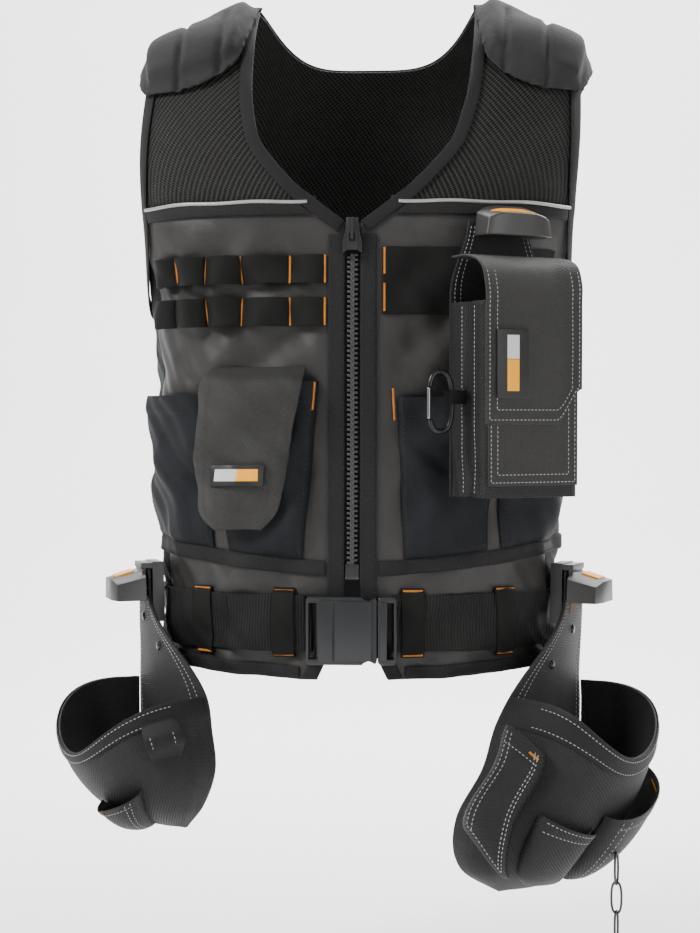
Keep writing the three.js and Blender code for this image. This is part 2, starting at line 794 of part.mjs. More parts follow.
// Two rows of webbing loops on the right chest, tacked down between one loop and the next
function toolLoops(row) {
  const last = TOOL_TACKS.length - 1;
  const perLoop = 4;
  return slab(last * perLoop, 1, (u, v, w) => {
    const step = Math.round(u * last * perLoop);
    const loop = Math.min(last - 1, Math.floor(step / perLoop));
    const part = step / perLoop - loop;
    const near = CHEST_HALF * TOOL_TACKS[loop].along;
    const far = CHEST_HALF * TOOL_TACKS[loop + 1].along;
    const rise = TOOL_WEBBING * TOOL_TACKS[loop + 1].bulge * Math.sin(Math.PI * part) ** 0.8;
    const z = -TOOL_ROW_DROP - row * TOOL_ROW_STEP - mix(TOOL_WEBBING, 0, v);
    return skin(-mix(near, far, part), z, PANEL_WALL + CLOSE_GAP + rise + w * WEBBING_WALL);
  });
}

function gearBand() {
  return slab(10, 2, (u, v, w) => {
    const z = -GEAR_BAND_DROP - mix(GEAR_BAND_WIDTH, 0, v);
    return skin(mix(GEAR_BAND_START, GEAR_BAND_END, u), z, ON_PANEL + w * WEBBING_WALL);
  });
}

add('tool_loops_upper', toolLoops(0), 'webbing');
add('tool_loops_lower', toolLoops(1), 'webbing');
add('gear_band', gearBand(), 'webbing');

// Open-topped pockets sewn down at both sides and above the waist band. From and to are shares of the chest's
// half width, top of the vest's drop, and taper and bulge of the pockets' depth.
const POCKET_DEPTH = 14;
const POCKETS = [
  { part: 'side_right', side: -1, from: 0.657, to: 1.152, top: 0.5875, taper: 0, bulge: 0.71 },
  { part: 'front_right', side: -1, from: 0.152, to: 0.641, top: 0.568, taper: 1, bulge: 1 },
  { part: 'front_left', side: 1, from: 0.202, to: 0.636, top: 0.591, taper: 0.43, bulge: 0.64 },
  { part: 'side_left', side: 1, from: 0.652, to: 1.192, top: 0.604, taper: 0.29, bulge: 0.64 },
];

function pocketRise(u, v) {
  const across = 1 - Math.abs(2 * u - 1) ** 3;
  const up = 1 - (1 - v) ** 3;
  return Math.sqrt(across * up);
}

function pocket({ side, from, to, top, taper, bulge }) {
  return slab(7, 5, (u, v, w) => {
    const inset = POCKET_DEPTH * taper * (1 - v);
    const along = mix(CHEST_HALF * from + inset, CHEST_HALF * to - inset, u);
    const foot = waistDrop(along / halfGirth(-WAIST_BAND_DROP)) - SEAM_GAP;
    const rise = POCKET_DEPTH * bulge * pocketRise(u, v);
    return skin(side * along, -mix(foot, VEST_DROP * top, v), ON_PANEL + rise + w * TRIM_WALL);
  });
}

for (const row of POCKETS) {
  add(`pocket_${row.part}`, pocket(row), 'sideCloth');
}

// The tongue-shaped flap pouch hangs over the right front pocket
const TONGUE_TOP = 334;
const TONGUE_LENGTH = 140;
const TONGUE_WALL = 5;
const TONGUE_DEPTH = 24;
// Near and far edges as shares of the chest's half width, out as a share of the tongue's depth
const TONGUE = [
  { way: 0, near: 0.202, far: 0.636, out: 0 },
  { way: 0.1, near: 0.212, far: 0.646, out: 1 },
  { way: 0.4, near: 0.253, far: 0.662, out: 0.92 },
  { way: 0.75, near: 0.293, far: 0.677, out: 0.79 },
  { way: 0.9, near: 0.323, far: 0.662, out: 0.71 },
  { way: 1, near: 0.394, far: 0.591, out: 0.625 },
];

function tongueAt(u, way, rise) {
  const along = CHEST_HALF * mix(read(TONGUE, 'way', 'near', way), read(TONGUE, 'way', 'far', way), u);
  const out = TONGUE_DEPTH * read(TONGUE, 'way', 'out', way) * (1 - 0.2 * (2 * u - 1) ** 4);
  return skin(-along, -TONGUE_TOP - TONGUE_LENGTH * way, ON_PANEL + out + rise);
}

function tongue() {
  return slab(5, 9, (u, v, w) => {
    const wall = mix(TRIM_WALL, TONGUE_WALL, smooth(6 * (1 - v)));
    return tongueAt(u, 1 - v, w * wall);
  });
}

add('pouch_flap_right', tongue(), 'canvas');

// Belt
function beltWebbing() {
  const open = innerEdge(-BELT_DROP - BELT_WIDTH / 2) + FACING_WIDTH + SEAM_GAP;
  const start = open / halfGirth(-BELT_DROP);
  return slab(44, 1, (u, v, w) => {
    const z = -BELT_DROP + mix(-BELT_WIDTH / 2, BELT_WIDTH / 2, v);
    return around(mix(start, 2 - start, u), z, ON_PANEL + w * BELT_WALL);
  });
}

function beltTail() {
  const start = BUCKLE_LENGTH / 2 + SEAM_GAP;
  return slab(5, 1, (u, v, w) => {
    const z = -BELT_DROP + mix(-BELT_WIDTH / 2, BELT_WIDTH / 2, v) * 0.98;
    return skin(-mix(start, start + BELT_TAIL_LENGTH, u), z, ON_BELT + w * BELT_WALL);
  });
}

const BELT_LOOPS = [
  { name: 'belt_loop_front_right', share: -0.123, clear: 1 },
  { name: 'belt_loop_front_left', share: 0.108, clear: 0 },
  { name: 'belt_loop_side_right', share: -0.285, clear: 0 },
  { name: 'belt_loop_side_left', share: 0.285, clear: 0 },
  { name: 'belt_loop_back_right', share: -0.8, clear: 0 },
  { name: 'belt_loop_back_left', share: 0.8, clear: 0 },
];

function beltLoop({ share, clear }) {
  const over = BELT_WALL + CLOSE_GAP + clear * (BELT_WALL + LAYER_GAP);
  const tack = 0.07;
  const rows = [0, tack, 0.5, 1 - tack, 1];
  return slab(2, rows.length - 1, (u, v, w) => {
    const row = Math.round(v * (rows.length - 1));
    const rise = row === 0 || row === rows.length - 1 ? 0 : over;
    const z = -BELT_DROP + (rows[row] - 0.5) * BELT_LOOP_LENGTH;
    const along = share * halfGirth(-BELT_DROP) + (u - 0.5) * BELT_LOOP_WIDTH;
    return skin(along, z, ON_PANEL + rise + w * TRIM_WALL);
  });
}

add('belt_webbing', beltWebbing(), 'webbing');
add('belt_tail', beltTail(), 'webbing');
for (const loop of BELT_LOOPS) {
  add(loop.name, beltLoop(loop), 'webbing');
}

// Buckle: a socket on the wearer's right and a plug on the left, pushed home
const buckleFace = skin(0, -BELT_DROP - BUCKLE_SAG, ON_TRIM + 0.2);
const BUCKLE_SPLIT = 0.28;

function roundedPlate(x0, x1, z0, z1, radius, depth) {
  const shape = new THREE.Shape();
  shape.moveTo(x0 + radius, z0);
  shape.lineTo(x1 - radius, z0);
  shape.quadraticCurveTo(x1, z0, x1, z0 + radius);
  shape.lineTo(x1, z1 - radius);
  shape.quadraticCurveTo(x1, z1, x1 - radius, z1);
  shape.lineTo(x0 + radius, z1);
  shape.quadraticCurveTo(x0, z1, x0, z1 - radius);
  shape.lineTo(x0, z0 + radius);
  shape.quadraticCurveTo(x0, z0, x0 + radius, z0);
  return new THREE.ExtrudeGeometry(shape, { depth, bevelEnabled: false, curveSegments: 3 })
    .rotateX(Math.PI / 2);
}

function placedBuckle(geometry) {
  return geometry.translate(buckleFace.x, buckleFace.y, buckleFace.z);
}

function buckleSlot(x) {
  return boxAt(x - BUCKLE_SLOT / 2, x + BUCKLE_SLOT / 2, -2 * BUCKLE_DEPTH, BUCKLE_DEPTH,
    -BUCKLE_HEIGHT / 2 + BUCKLE_RAIL, BUCKLE_HEIGHT / 2 - BUCKLE_RAIL);
}

function buckleSocket() {
  const half = BUCKLE_LENGTH / 2;
  const high = BUCKLE_HEIGHT / 2;
  const end = BUCKLE_SPLIT * BUCKLE_LENGTH;
  const body = roundedPlate(-half, end, -high, high, 4, BUCKLE_DEPTH);
  const slot = buckleSlot(-half + BUCKLE_RAIL / 2 + BUCKLE_SLOT / 2);
  const notches = [1, -1].map((up) => {
    const notch = new THREE.CylinderGeometry(7, 7, 4 * BUCKLE_DEPTH, 8);
    return notch.translate(end - 7, 0, up * (high + 3.5));
  });
  return placedBuckle(cut(body, slot, ...notches));
}

function bucklePlug() {
  const half = BUCKLE_LENGTH / 2;
  const high = BUCKLE_HEIGHT / 2;
  const start = BUCKLE_SPLIT * BUCKLE_LENGTH + SEAM_GAP;
  const body = roundedPlate(start, half, -high, high, 4, 0.92 * BUCKLE_DEPTH);
  const slot = buckleSlot(half - BUCKLE_RAIL / 2 - BUCKLE_SLOT / 2);
  return placedBuckle(cut(body, slot));
}

add('buckle_socket', buckleSocket(), 'plastic');
add('buckle_plug', bucklePlug(), 'plastic');

// Pouches hang in groups of their own: x across, -y outwards, z up. A seat is how far a flat back stands off.
function seat(group, half, low, high, layer) {
  group.updateMatrixWorld(true);
  const toLocal = group.matrixWorld.clone().invert();
  let reach = 0;
  const height = group.position.z;
  for (let z = height + low; z <= height + high; z += 6) {
    const held = Math.max(-VEST_DROP, z);
    for (let along = -halfGirth(held) / 2; along <= halfGirth(held) / 2; along += 4) {
      const side = along + Math.sign(group.position.x) * halfGirth(held) / 2;
      const local = skin(side, held, layer(z)).applyMatrix4(toLocal);
      if (Math.abs(local.x) <= half) {
        reach = Math.max(reach, -local.y);
      }
    }
  }
  const out = new THREE.Vector3(0, -1, 0).transformDirection(group.matrixWorld);
  group.position.addScaledVector(out, reach + LAYER_GAP / 2);
}

function pouchGroup(along, drop, yaw) {
  const group = new THREE.Group();
  group.position.copy(skin(along, -drop, 0));
  group.rotation.z = radians(yaw);
  vest.add(group);
  return group;
}

function local(x, out, z) {
  return new THREE.Vector3(x, -out, z);
}

function upright(x0, x1, out0, out1, z0, z1, radius) {
  const shape = new THREE.Shape();
  const [y0, y1] = [-out1, -out0];
  shape.moveTo(x0 + radius, y0);
  shape.lineTo(x1 - radius, y0);
  shape.quadraticCurveTo(x1, y0, x1, y0 + radius);
  shape.lineTo(x1, y1);
  shape.lineTo(x0, y1);
  shape.lineTo(x0, y0 + radius);
  shape.quadraticCurveTo(x0, y0, x0 + radius, y0);
  return new THREE.ExtrudeGeometry(shape, { depth: z1 - z0, bevelEnabled: false, curveSegments: 3 })
    .translate(0, 0, z0);
}

// A moulded clip cap: a rounded hood whose top slopes down to the front
function clipCap(width, depth, x) {
  return slab(5, 3, (u, v, w) => {
    const across = 2 * u - 1;
    const rise = 1 - 0.25 * Math.abs(across) ** 4;
    const slope = 1 - 0.3 * w;
    const z = mix(0, CLIP_HEIGHT * slope * rise, v);
    const narrow = 1 - 0.08 * v;
    return local(x + across * width / 2 * narrow, w * depth * (1 - 0.15 * across ** 4), z);
  }, 2);
}

// Chest pouch
const chest = pouchGroup(CHEST_POUCH_ALONG, CHEST_POUCH_DROP, CHEST_POUCH_YAW);
const chestHalf = CHEST_POUCH_WIDTH / 2;
const bandFoot = -GEAR_BAND_DROP - GEAR_BAND_WIDTH;
const POCKETS_FROM = bandFoot - 10;
const POCKET_STANDOFF = TRIM_WALL + 6.2;
seat(chest, chestHalf, -CHEST_POUCH_HEIGHT, CHEST_BACK_TOP - 4,
  (z) => ON_PANEL + (z > POCKETS_FROM ? WEBBING_WALL : POCKET_STANDOFF));

function chestBack() {
  return slab(4, 5, (u, v, w) => {
    const z = mix(-CHEST_POUCH_HEIGHT, CHEST_BACK_TOP, v);
    const half = chestHalf * mix(1, 0.62, smooth((z + 30) / (CHEST_BACK_TOP + 30)));
    return local((2 * u - 1) * half, w * BACK_PLATE_WALL, z);
  });
}

const CHEST_BAG_START = BACK_PLATE_WALL + 0.4;
function chestBody() {
  const end = CHEST_BAG_START + CHEST_POUCH_DEPTH;
  const outer = upright(-chestHalf, chestHalf, CHEST_BAG_START, end, -CHEST_POUCH_HEIGHT, -BAG_TOP_DROP, 9);
  const inner = upright(-chestHalf + POUCH_WALL, chestHalf - POUCH_WALL, CHEST_BAG_START + POUCH_WALL,
    end - POUCH_WALL, -CHEST_POUCH_HEIGHT + POUCH_WALL, 0, 8);
  return cut(outer, inner);
}

// The flap leaves the back plate over the mouth, bends down over the front and has one cut corner
const FLAP = [
  { way: 0, out: 0, drop: 0 },
  { way: 0.13, out: 0.45, drop: 0 },
  { way: 0.27, out: 0.86, drop: 0.06 },
  { way: 0.38, out: 1, drop: 0.2 },
  { way: 0.5, out: 1, drop: 0.34 },
  { way: 1, out: 1, drop: 1 },
];

function chestFlap() {
  return slab(4, 10, (u, v, w) => {
    const way = 1 - v;
    const corner = 30;
    const low = FLAP_LENGTH - corner * smooth((u - 0.72) / 0.28);
    const out = CHEST_BAG_START + CHEST_POUCH_DEPTH * read(FLAP, 'way', 'out', way) + 0.7;
    const z = -low * read(FLAP, 'way', 'drop', way);
    const lift = POUCH_WALL * w;
    const steep = smooth(way / 0.4);
    return local((2 * u - 1) * (chestHalf + 0.5), out + lift * steep, z + lift * (1 - steep));
  });
}

add('chest_pouch_back', chestBack(), 'canvas', chest);
add('chest_pouch_body', chestBody(), 'canvas', chest);
add('chest_pouch_flap', chestFlap(), 'canvas', chest);
const chestClip = clipCap(CLIP_WIDTH, CLIP_DEPTH, CLIP_SHIFT);
add('chest_pouch_clip', chestClip.translate(0, -BACK_PLATE_WALL - 0.4, 20), 'plastic', chest);

// The carabiner hangs in a tab on the pouch's inner side: a closed D of wire whose gate is sprung
const CARABINER_OUT = 24;
const CARABINER_TOP = -98;
const carabinerEye = new THREE.Vector3(
  -chestHalf - 12.5 - CARABINER_WIDTH / 2, -CARABINER_OUT, CARABINER_TOP);

// A closed oval from its top at the origin down, rounder or squarer by its power
class OvalPath extends THREE.Curve {
  constructor(width, length, power) {
    super();
    Object.assign(this, { width, length, power });
  }

  getPoint(share, target = new THREE.Vector3()) {
    const [across, up] = [Math.cos(2 * Math.PI * share), Math.sin(2 * Math.PI * share)];
    const x = this.width / 2 * Math.sign(across) * Math.abs(across) ** this.power;
    const z = this.length / 2 * (Math.sign(up) * Math.abs(up) ** this.power - 1);
    return target.set(x, 0, z);
  }
}

function wireLoop(curve, wire, steps, sides) {
  const radius = wire / 2;
  const ring = new THREE.TorusGeometry(3, 1, sides, steps);
  const uv = ring.getAttribute('uv');
  const place = ring.getAttribute('position');
  for (let index = 0; index < place.count; index++) {
    const share = uv.getX(index) % 1;
    const turn = 2 * Math.PI * (uv.getY(index) % 1);
    const middle = curve.getPoint(share);
    const way = curve.getPoint((share + 0.5 / steps) % 1).sub(curve.getPoint((share + 1 - 0.5 / steps) % 1));
    const flat = new THREE.Vector3(0, 1, 0);
    const side = way.normalize().cross(flat).normalize();
    middle.addScaledVector(side, radius * Math.cos(turn)).addScaledVector(flat, radius * Math.sin(turn));
    place.setXYZ(index, middle.x, middle.y, middle.z);
  }
  return ring;
}

const GATE_TOP = -0.24 * CARABINER_LENGTH;
const GATE_FOOT = -0.8 * CARABINER_LENGTH;
function carabinerBody() {
  const whole = wireLoop(new OvalPath(CARABINER_WIDTH, CARABINER_LENGTH, 0.75), CARABINER_WIRE, 24, 6);
  const half = CARABINER_WIDTH / 2;
  const gap = boxAt(-half - CARABINER_WIRE, -half + CARABINER_WIRE, -CARABINER_WIRE, CARABINER_WIRE,
    GATE_FOOT, GATE_TOP);
  return cut(whole, gap).translate(carabinerEye.x, carabinerEye.y, carabinerEye.z);
}

function carabinerGate() {
  const x = carabinerEye.x - CARABINER_WIDTH / 2;
  const rod = new THREE.CylinderGeometry(GATE_WIRE, GATE_WIRE, GATE_TOP - GATE_FOOT - 1.8, 8);
  rod.rotateX(Math.PI / 2).translate(x, carabinerEye.y, carabinerEye.z + (GATE_TOP + GATE_FOOT) / 2);
  return rod;
}

// The tab's loop goes round the carabiner's back bar
function carabinerTab() {
  const bar = carabinerEye.x + CARABINER_WIDTH / 2;
  const reach = CARABINER_WIRE / 2 + 0.4;
  const [y, z] = [carabinerEye.y, carabinerEye.z - 0.42 * CARABINER_LENGTH];
  const outer = boxAt(bar - reach - 1.6, -chestHalf - 0.4, y - reach - 1.6, y + reach + 1.6, z - 6, z + 6);
  const hole = boxAt(bar - reach, bar + reach, y - reach, y + reach, z - 9, z + 9);
  return cut(outer, hole);
}

add('carabiner', carabinerBody(), 'metal', chest);
add('carabiner_gate', carabinerGate(), 'steel', chest);
add('carabiner_tab', carabinerTab(), 'webbing', chest);

// A label sewn on the chest flap and one on the tongue, both bare
const LABEL_WALL = 1.5;
const FLAP_FACE = CHEST_BAG_START + CHEST_POUCH_DEPTH + 0.7 + POUCH_WALL;
function chestLabel() {
  return slab(1, 1, (u, v, w) => {
    const out = FLAP_FACE + 0.5 + w * LABEL_WALL;
    const x = -chestHalf + CHEST_LABEL_INSET + u * CHEST_LABEL_WIDTH;
    return local(x, out, -CHEST_LABEL_DROP - mix(CHEST_LABEL_HEIGHT, 0, v));
  });
}

function tongueLabel() {
  return slab(3, 1, (u, v, w) => tongueAt(mix(0.2, 0.78, u), mix(0.73, 0.6, v),
    TONGUE_WALL + 0.7 + w * LABEL_WALL));
}

add('chest_label', chestLabel(), 'label', chest);
add('tongue_label', tongueLabel(), 'label');

// Hip pouches: forward is towards the wearer's front, round the hip; the back is bent to the hip

// Rear and front edges of the back panel, as shares of its half width, down its length
const HIP_OUTLINE = [
  { way: 0, rear: -0.75, left: 0.1, right: 0.1 },
  { way: 0.14, rear: -0.75, left: 0.2, right: 0.2 },
  { way: 0.34, rear: -0.5, left: 1.1, right: 1.1 },
  { way: 0.46, rear: -0.55, left: 1.45, right: 1.45 },
  { way: 0.6, rear: -0.5, left: 1.65, right: 1.55 },
  { way: 0.75, rear: -0.4, left: 2.0, right: 1.6 },
  { way: 0.9, rear: -0.1, left: 1.95, right: 1.4 },
  { way: 1, rear: 0.1, left: 1.4, right: 1.1 },
];

function hip(side, length) {
  const group = pouchGroup(side * HIP_PLACE * halfGirth(-BELT_DROP), BELT_DROP, side * HIP_YAW);
  const word = side > 0 ? 'left' : 'right';
  function at(forward, out, z) {
    const angle = forward / HIP_BEND;
    const reach = HIP_BEND + out;
    return local(-side * reach * Math.sin(angle), reach * Math.cos(angle) - HIP_BEND, z);
  }
  function edge(column, z) {
    return HIP_BACK_HALF * read(HIP_OUTLINE, 'way', column, (HIP_TOP - z) / (HIP_TOP + length));
  }
  // A bag standing off the back panel: u runs from its rear edge to its front edge, v from foot to rim
  function bag(u, v, out, depth, rim) {
    const z = mix(-length + 2, rim(u), v);
    const across = 1 - Math.abs(2 * u - 1) ** 3;
    const up = 1 - (1 - v) ** 1.6;
    const rise = Math.sqrt(across * up);
    return at(mix(edge('rear', z), edge(word, z), u), BACK_PLATE_WALL + 0.4 + depth * rise + out, z);
  }
  function face(u, v) {
    return bag(u, v, POUCH_WALL, HIP_BAG_DEPTH, hipRim);
  }
  // A point off the bag's outer face, along its own outward direction
  function onBag(u, v, out) {
    const step = 0.01;
    const across = face(Math.min(1, u + step), v).sub(face(Math.max(0, u - step), v));
    const up = face(u, v + step).sub(face(u, v - step));
    return face(u, v).addScaledVector(across.cross(up).normalize(), -side * out);
  }
  return { group, word, at, edge, bag, onBag, length, side };
}

function hipRim(u) {
  return -HIP_RIM_DROP - HIP_RIM_DIP * Math.sin(Math.PI * u) ** 1.5;
}

const leftHip = hip(1, LEFT_HIP_LENGTH);
const rightHip = hip(-1, RIGHT_HIP_LENGTH);

for (const { group } of [leftHip, rightHip]) {
  const out = new THREE.Vector3(0, -1, 0).applyEuler(group.rotation);
  group.position.addScaledVector(out, ON_BELT + HIP_STANDOFF);
  group.updateMatrixWorld(true);
}

// The way out at which a line of points in a group comes just clear of the belt
function beltReach(group, at, forward, z) {
  let near = -2 * HIP_STANDOFF - ON_BELT;
  let far = 0;
  for (let step = 0; step < 24; step++) {
    const out = (near + far) / 2;
    const point = group.localToWorld(at(forward, out, z));
    const rest = settled(point.clone());
    const inside = depthIn(point.x, point.y, point.z) < 0;
    if (inside || point.distanceTo(rest) < ON_PANEL + BELT_WALL + 0.5) {
      near = out;
    } else {
      far = out;
    }
  }
  return far;
}

// The clip's hook goes over the top of the back and down behind it, onto the belt
function hipHook({ group, at }) {
  const top = HIP_TOP + 0.6;
  const behind = slab(4, 3, (u, v, w) => {
    const forward = HIP_CAP_FORWARD + mix(-HOOK_WIDTH / 2, HOOK_WIDTH / 2, u);
    const z = mix(HOOK_FOOT, top + HOOK_WALL, v);
    return at(forward, mix(beltReach(group, at, forward, z), -HOOK_GAP, w), z);
  });
  const bridge = slab(3, 1, (u, v, w) => {
    const forward = HIP_CAP_FORWARD + mix(-HOOK_WIDTH / 2 + 1, HOOK_WIDTH / 2 - 1, u);
    return at(forward, mix(-HOOK_GAP - 1, BACK_PLATE_WALL + HOOK_WALL, w), mix(top, top + HOOK_WALL - 1, v));
  });
  const front = slab(3, 1, (u, v, w) => {
    const forward = HIP_CAP_FORWARD + mix(-HOOK_WIDTH / 2 + 2, HOOK_WIDTH / 2 - 2, u);
    const out = mix(BACK_PLATE_WALL + HOOK_GAP, BACK_PLATE_WALL + HOOK_WALL - 1, w);
    return at(forward, out, mix(HIP_CAP_FOOT + 1, top + HOOK_WALL - 2, v));
  });
  return [behind, bridge, front];
}

for (const pouch of [leftHip, rightHip]) {
  const { group, word, at, edge, bag, length, side } = pouch;
  const back = slab(5, 8, (u, v, w) => {
    const z = mix(-length, HIP_TOP, v);
    return at(mix(edge('rear', z), edge(word, z), u), w * BACK_PLATE_WALL, z);
  });
  const body = slab(10, 6, (u, v, w) => bag(u, v, w * POUCH_WALL, HIP_BAG_DEPTH, hipRim));
  const cap = clipCap(HIP_CLIP_WIDTH, HIP_CAP_DEPTH, 0);
  const lie = at(HIP_CAP_FORWARD, BACK_PLATE_WALL + 2.2, HIP_CAP_FOOT);
  cap.rotateZ(side * -HIP_CAP_FORWARD / HIP_BEND).translate(lie.x, lie.y, lie.z);
  add(`hip_${word}_back`, back, 'canvas', group);
  add(`hip_${word}_bag`, body, 'canvas', group);
  add(`hip_${word}_clip`, joined(cap, ...hipHook(pouch)), 'plastic', group);
}

// Smaller pockets on the bags, between four corners given as places on the bag: u from rear to front, v up
const HIP_POCKETS = [
  { name: 'hip_left_flat_pocket', on: leftHip, power: 8,
    footFront: [0.993, 0.37], footRear: [0.87, 0.13], topRear: [0.92, 0.78], topFront: [0.993, 0.86] },
  { name: 'hip_left_tool_pocket', on: leftHip, power: 3,
    footFront: [0.52, 0.07], footRear: [0.14, 0.1], topRear: [0.08, 0.62], topFront: [0.55, 0.6] },
  { name: 'hip_right_holder', on: rightHip, power: 3,
    footFront: [0.8, 0.05], footRear: [0.62, 0.05], topRear: [0.58, 0.4], topFront: [0.84, 0.42] },
];

function cornered(row, u, v) {
  const low = row.footRear.map((value, axis) => mix(value, row.footFront[axis], u));
  const high = row.topRear.map((value, axis) => mix(value, row.topFront[axis], u));
  return low.map((value, axis) => mix(value, high[axis], v));
}

for (const row of HIP_POCKETS) {
  const sheet = slab(6, 5, (u, v, w) => {
    const [across, up] = cornered(row, u, v);
    const rise = Math.sqrt((1 - Math.abs(2 * u - 1) ** row.power) * (1 - (1 - v) ** row.power));
    return row.on.onBag(across, up, CLOSE_GAP + HIP_POCKET_DEPTH * rise + w * TRIM_WALL);
  });
  add(row.name, sheet, 'canvas', row.on.group);
}

// A webbing loop for a hammer on the right pouch's front edge
function hammerLoop() {
  return slab(1, 8, (u, v, w) => {
    const rise = HAMMER_LOOP_DEPTH * Math.sin(Math.PI * v);
    return rightHip.onBag(mix(0.9, 0.97, u), mix(0.62, 0.9, v), CLOSE_GAP / 2 + rise + w * WEBBING_WALL);
  });
}

add('hip_right_loop', hammerLoop(), 'webbing', rightHip.group);

// The tape chain hangs from the left pouch and ends in a toggle bar
function tapeChain() {
  const standoff = CLOSE_GAP + 0.87 * HIP_POCKET_DEPTH + TRIM_WALL + CHAIN_WIRE / 2 + 0.4;
  const start = leftHip.onBag(0.42, 0.36, standoff);
  const pitch = CHAIN_LINK_LENGTH - 2 * CHAIN_WIRE + 0.3;
  const parts = [];
  for (let link = 0; link < CHAIN_LINKS; link++) {
    const path = new OvalPath(CHAIN_LINK_WIDTH, CHAIN_LINK_LENGTH - CHAIN_WIRE, 0.8);
    const turn = link % 2 ? Math.PI / 2 : 0;
    const loop = wireLoop(path, CHAIN_WIRE, 12, 5).rotateZ(turn);
    parts.push(loop.translate(start.x, start.y, start.z - link * pitch));
  }
  const foot = start.z - CHAIN_LINKS * pitch;
  const bar = new THREE.CylinderGeometry(1.6, 1.6, CHAIN_LINK_LENGTH, 6);
  parts.push(bar.rotateX(Math.PI / 2).rotateY(0.5).translate(start.x, start.y, foot));
  return joined(...parts);
}

add('tape_chain', tapeChain(), 'steel', leftHip.group);

export default vest;
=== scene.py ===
# %% [markdown]
# A utility work vest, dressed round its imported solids. The vest hangs as it is worn: mesh yokes and
# padded shoulders above, a zipped front with tool loops and pockets, a buckled belt, a chest pouch and two
# hip pouches. Sizes are in millimetres until a mesh is made, and the wearer faces -Y.

# %% Load the frame
import math

import bmesh
import bpy
import numpy as np
from mathutils import Matrix, Vector


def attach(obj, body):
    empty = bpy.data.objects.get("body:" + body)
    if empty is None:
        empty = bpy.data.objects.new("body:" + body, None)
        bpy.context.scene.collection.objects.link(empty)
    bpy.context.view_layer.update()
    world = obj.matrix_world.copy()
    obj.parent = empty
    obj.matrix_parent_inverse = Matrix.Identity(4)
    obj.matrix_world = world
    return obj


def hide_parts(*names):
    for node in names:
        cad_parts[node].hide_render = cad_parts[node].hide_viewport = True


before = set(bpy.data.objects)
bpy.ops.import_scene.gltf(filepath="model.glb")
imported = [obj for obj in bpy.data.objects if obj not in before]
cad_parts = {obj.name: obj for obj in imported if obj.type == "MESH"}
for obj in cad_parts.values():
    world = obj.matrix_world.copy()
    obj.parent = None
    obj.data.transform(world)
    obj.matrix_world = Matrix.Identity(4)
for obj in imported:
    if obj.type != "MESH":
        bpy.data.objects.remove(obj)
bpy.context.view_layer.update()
MM = 0.001

# %% [markdown]
# The camera stands a little to the wearer's left of the middle, between chest and waist height. It is
# placed from the picture: a long lens from 1.8 m, so that the straps and the hems keep their
# proportions.

# %% Camera
EYE_REACH = 1.8
EYE_TURN = math.radians(3)
EYE = Vector((EYE_REACH * math.sin(EYE_TURN), -EYE_REACH * math.cos(EYE_TURN), -0.378))
TARGET = Vector((-0.0094, 0, -0.422))
LENS = 73.9
SENSOR_WIDTH = 36
FARTHEST = 50
camera_data = bpy.data.cameras.new("camera")
camera_data.lens = LENS
camera_data.sensor_width = SENSOR_WIDTH
camera_data.clip_end = FARTHEST
camera = bpy.data.objects.new("camera", camera_data)
camera.location = EYE
camera.rotation_euler = (TARGET - EYE).to_track_quat("-Z", "Y").to_euler()
bpy.context.scene.collection.objects.link(camera)
bpy.context.scene.camera = camera
print("camera", tuple(round(value, 3) for value in EYE))

# %% [markdown]
# Every layer of the vest lies on one smooth torso, so the torso is written once as a chart: give a way
# round the chest and a height, and it returns a point on the cloth. The rows are cross-sections from the
# shoulder ridge down, read with a smooth curve between them. A lofted mesh would do too, but a chart lets
# tapes, loops and stitches follow the cloth exactly.

# %% Torso chart: sizes
VEST_DROP = 606
CHEST_HALF = 198
CHEST_FRONT = 118
CHEST_BACK = 120
SHOULDER_LEAN = 7
NECK_HALF = 100
STRAP_END = 192
BACK_NECK_DROP = 42
CHEST_LINE = 187
NECK_DROP = 205
ARMHOLE_DEPTH = 83
ARMHOLE_FRONT = 50
ARMHOLE_BACK = 55
ZIP_OPENING = 7
ZIP_END = 511
FRONT_PARTING = 24
HEM_RISE = 8
BELT_LEVEL = -556.0
NECK_FOOT = 31
PANEL_WALL = 2
TRIM_WALL = 1.2
LAYER_GAP = 1.1
CLOSE_GAP = 0.7
SEAM_GAP = 0.8
ON_PANEL = PANEL_WALL + LAYER_GAP
ON_TRIM = ON_PANEL + TRIM_WALL + LAYER_GAP
SECTIONS = np.array([
    (0, 0.48, 0.01, 0.01, 2.6),
    (0.033, 0.73, 0.356, 0.375, 2.8),
    (0.066, 0.96, 0.508, 0.54, 3.0),
    (0.1, 1.025, 0.61, 0.71, 3.0),
    (0.15, 1.045, 0.746, 0.875, 3.0),
    (0.23, 1.04, 0.89, 0.983, 3.0),
    (0.33, 1.0, 1.0, 1.0, 2.9),
    (0.495, 0.96, 1.05, 0.958, 2.7),
    (0.66, 0.955, 1.068, 0.9, 2.5),
    (0.84, 0.93, 1.1, 0.858, 2.4),
    (1, 0.92, 1.085, 0.875, 2.4),
])
NECK_EDGE = np.array([(0, 1), (0.26, 0.99), (0.5, 0.965), (0.61, 0.935), (0.77, 0.85), (0.86, 0.71),
                      (0.95, 0.5), (1, 0.31)])
print("chart rows", len(SECTIONS))


# %% Torso chart: points
def mix(low, high, share):
    return low + (high - low) * share


def smooth(share):
    held = np.clip(share, 0, 1)
    return held * held * (3 - 2 * held)


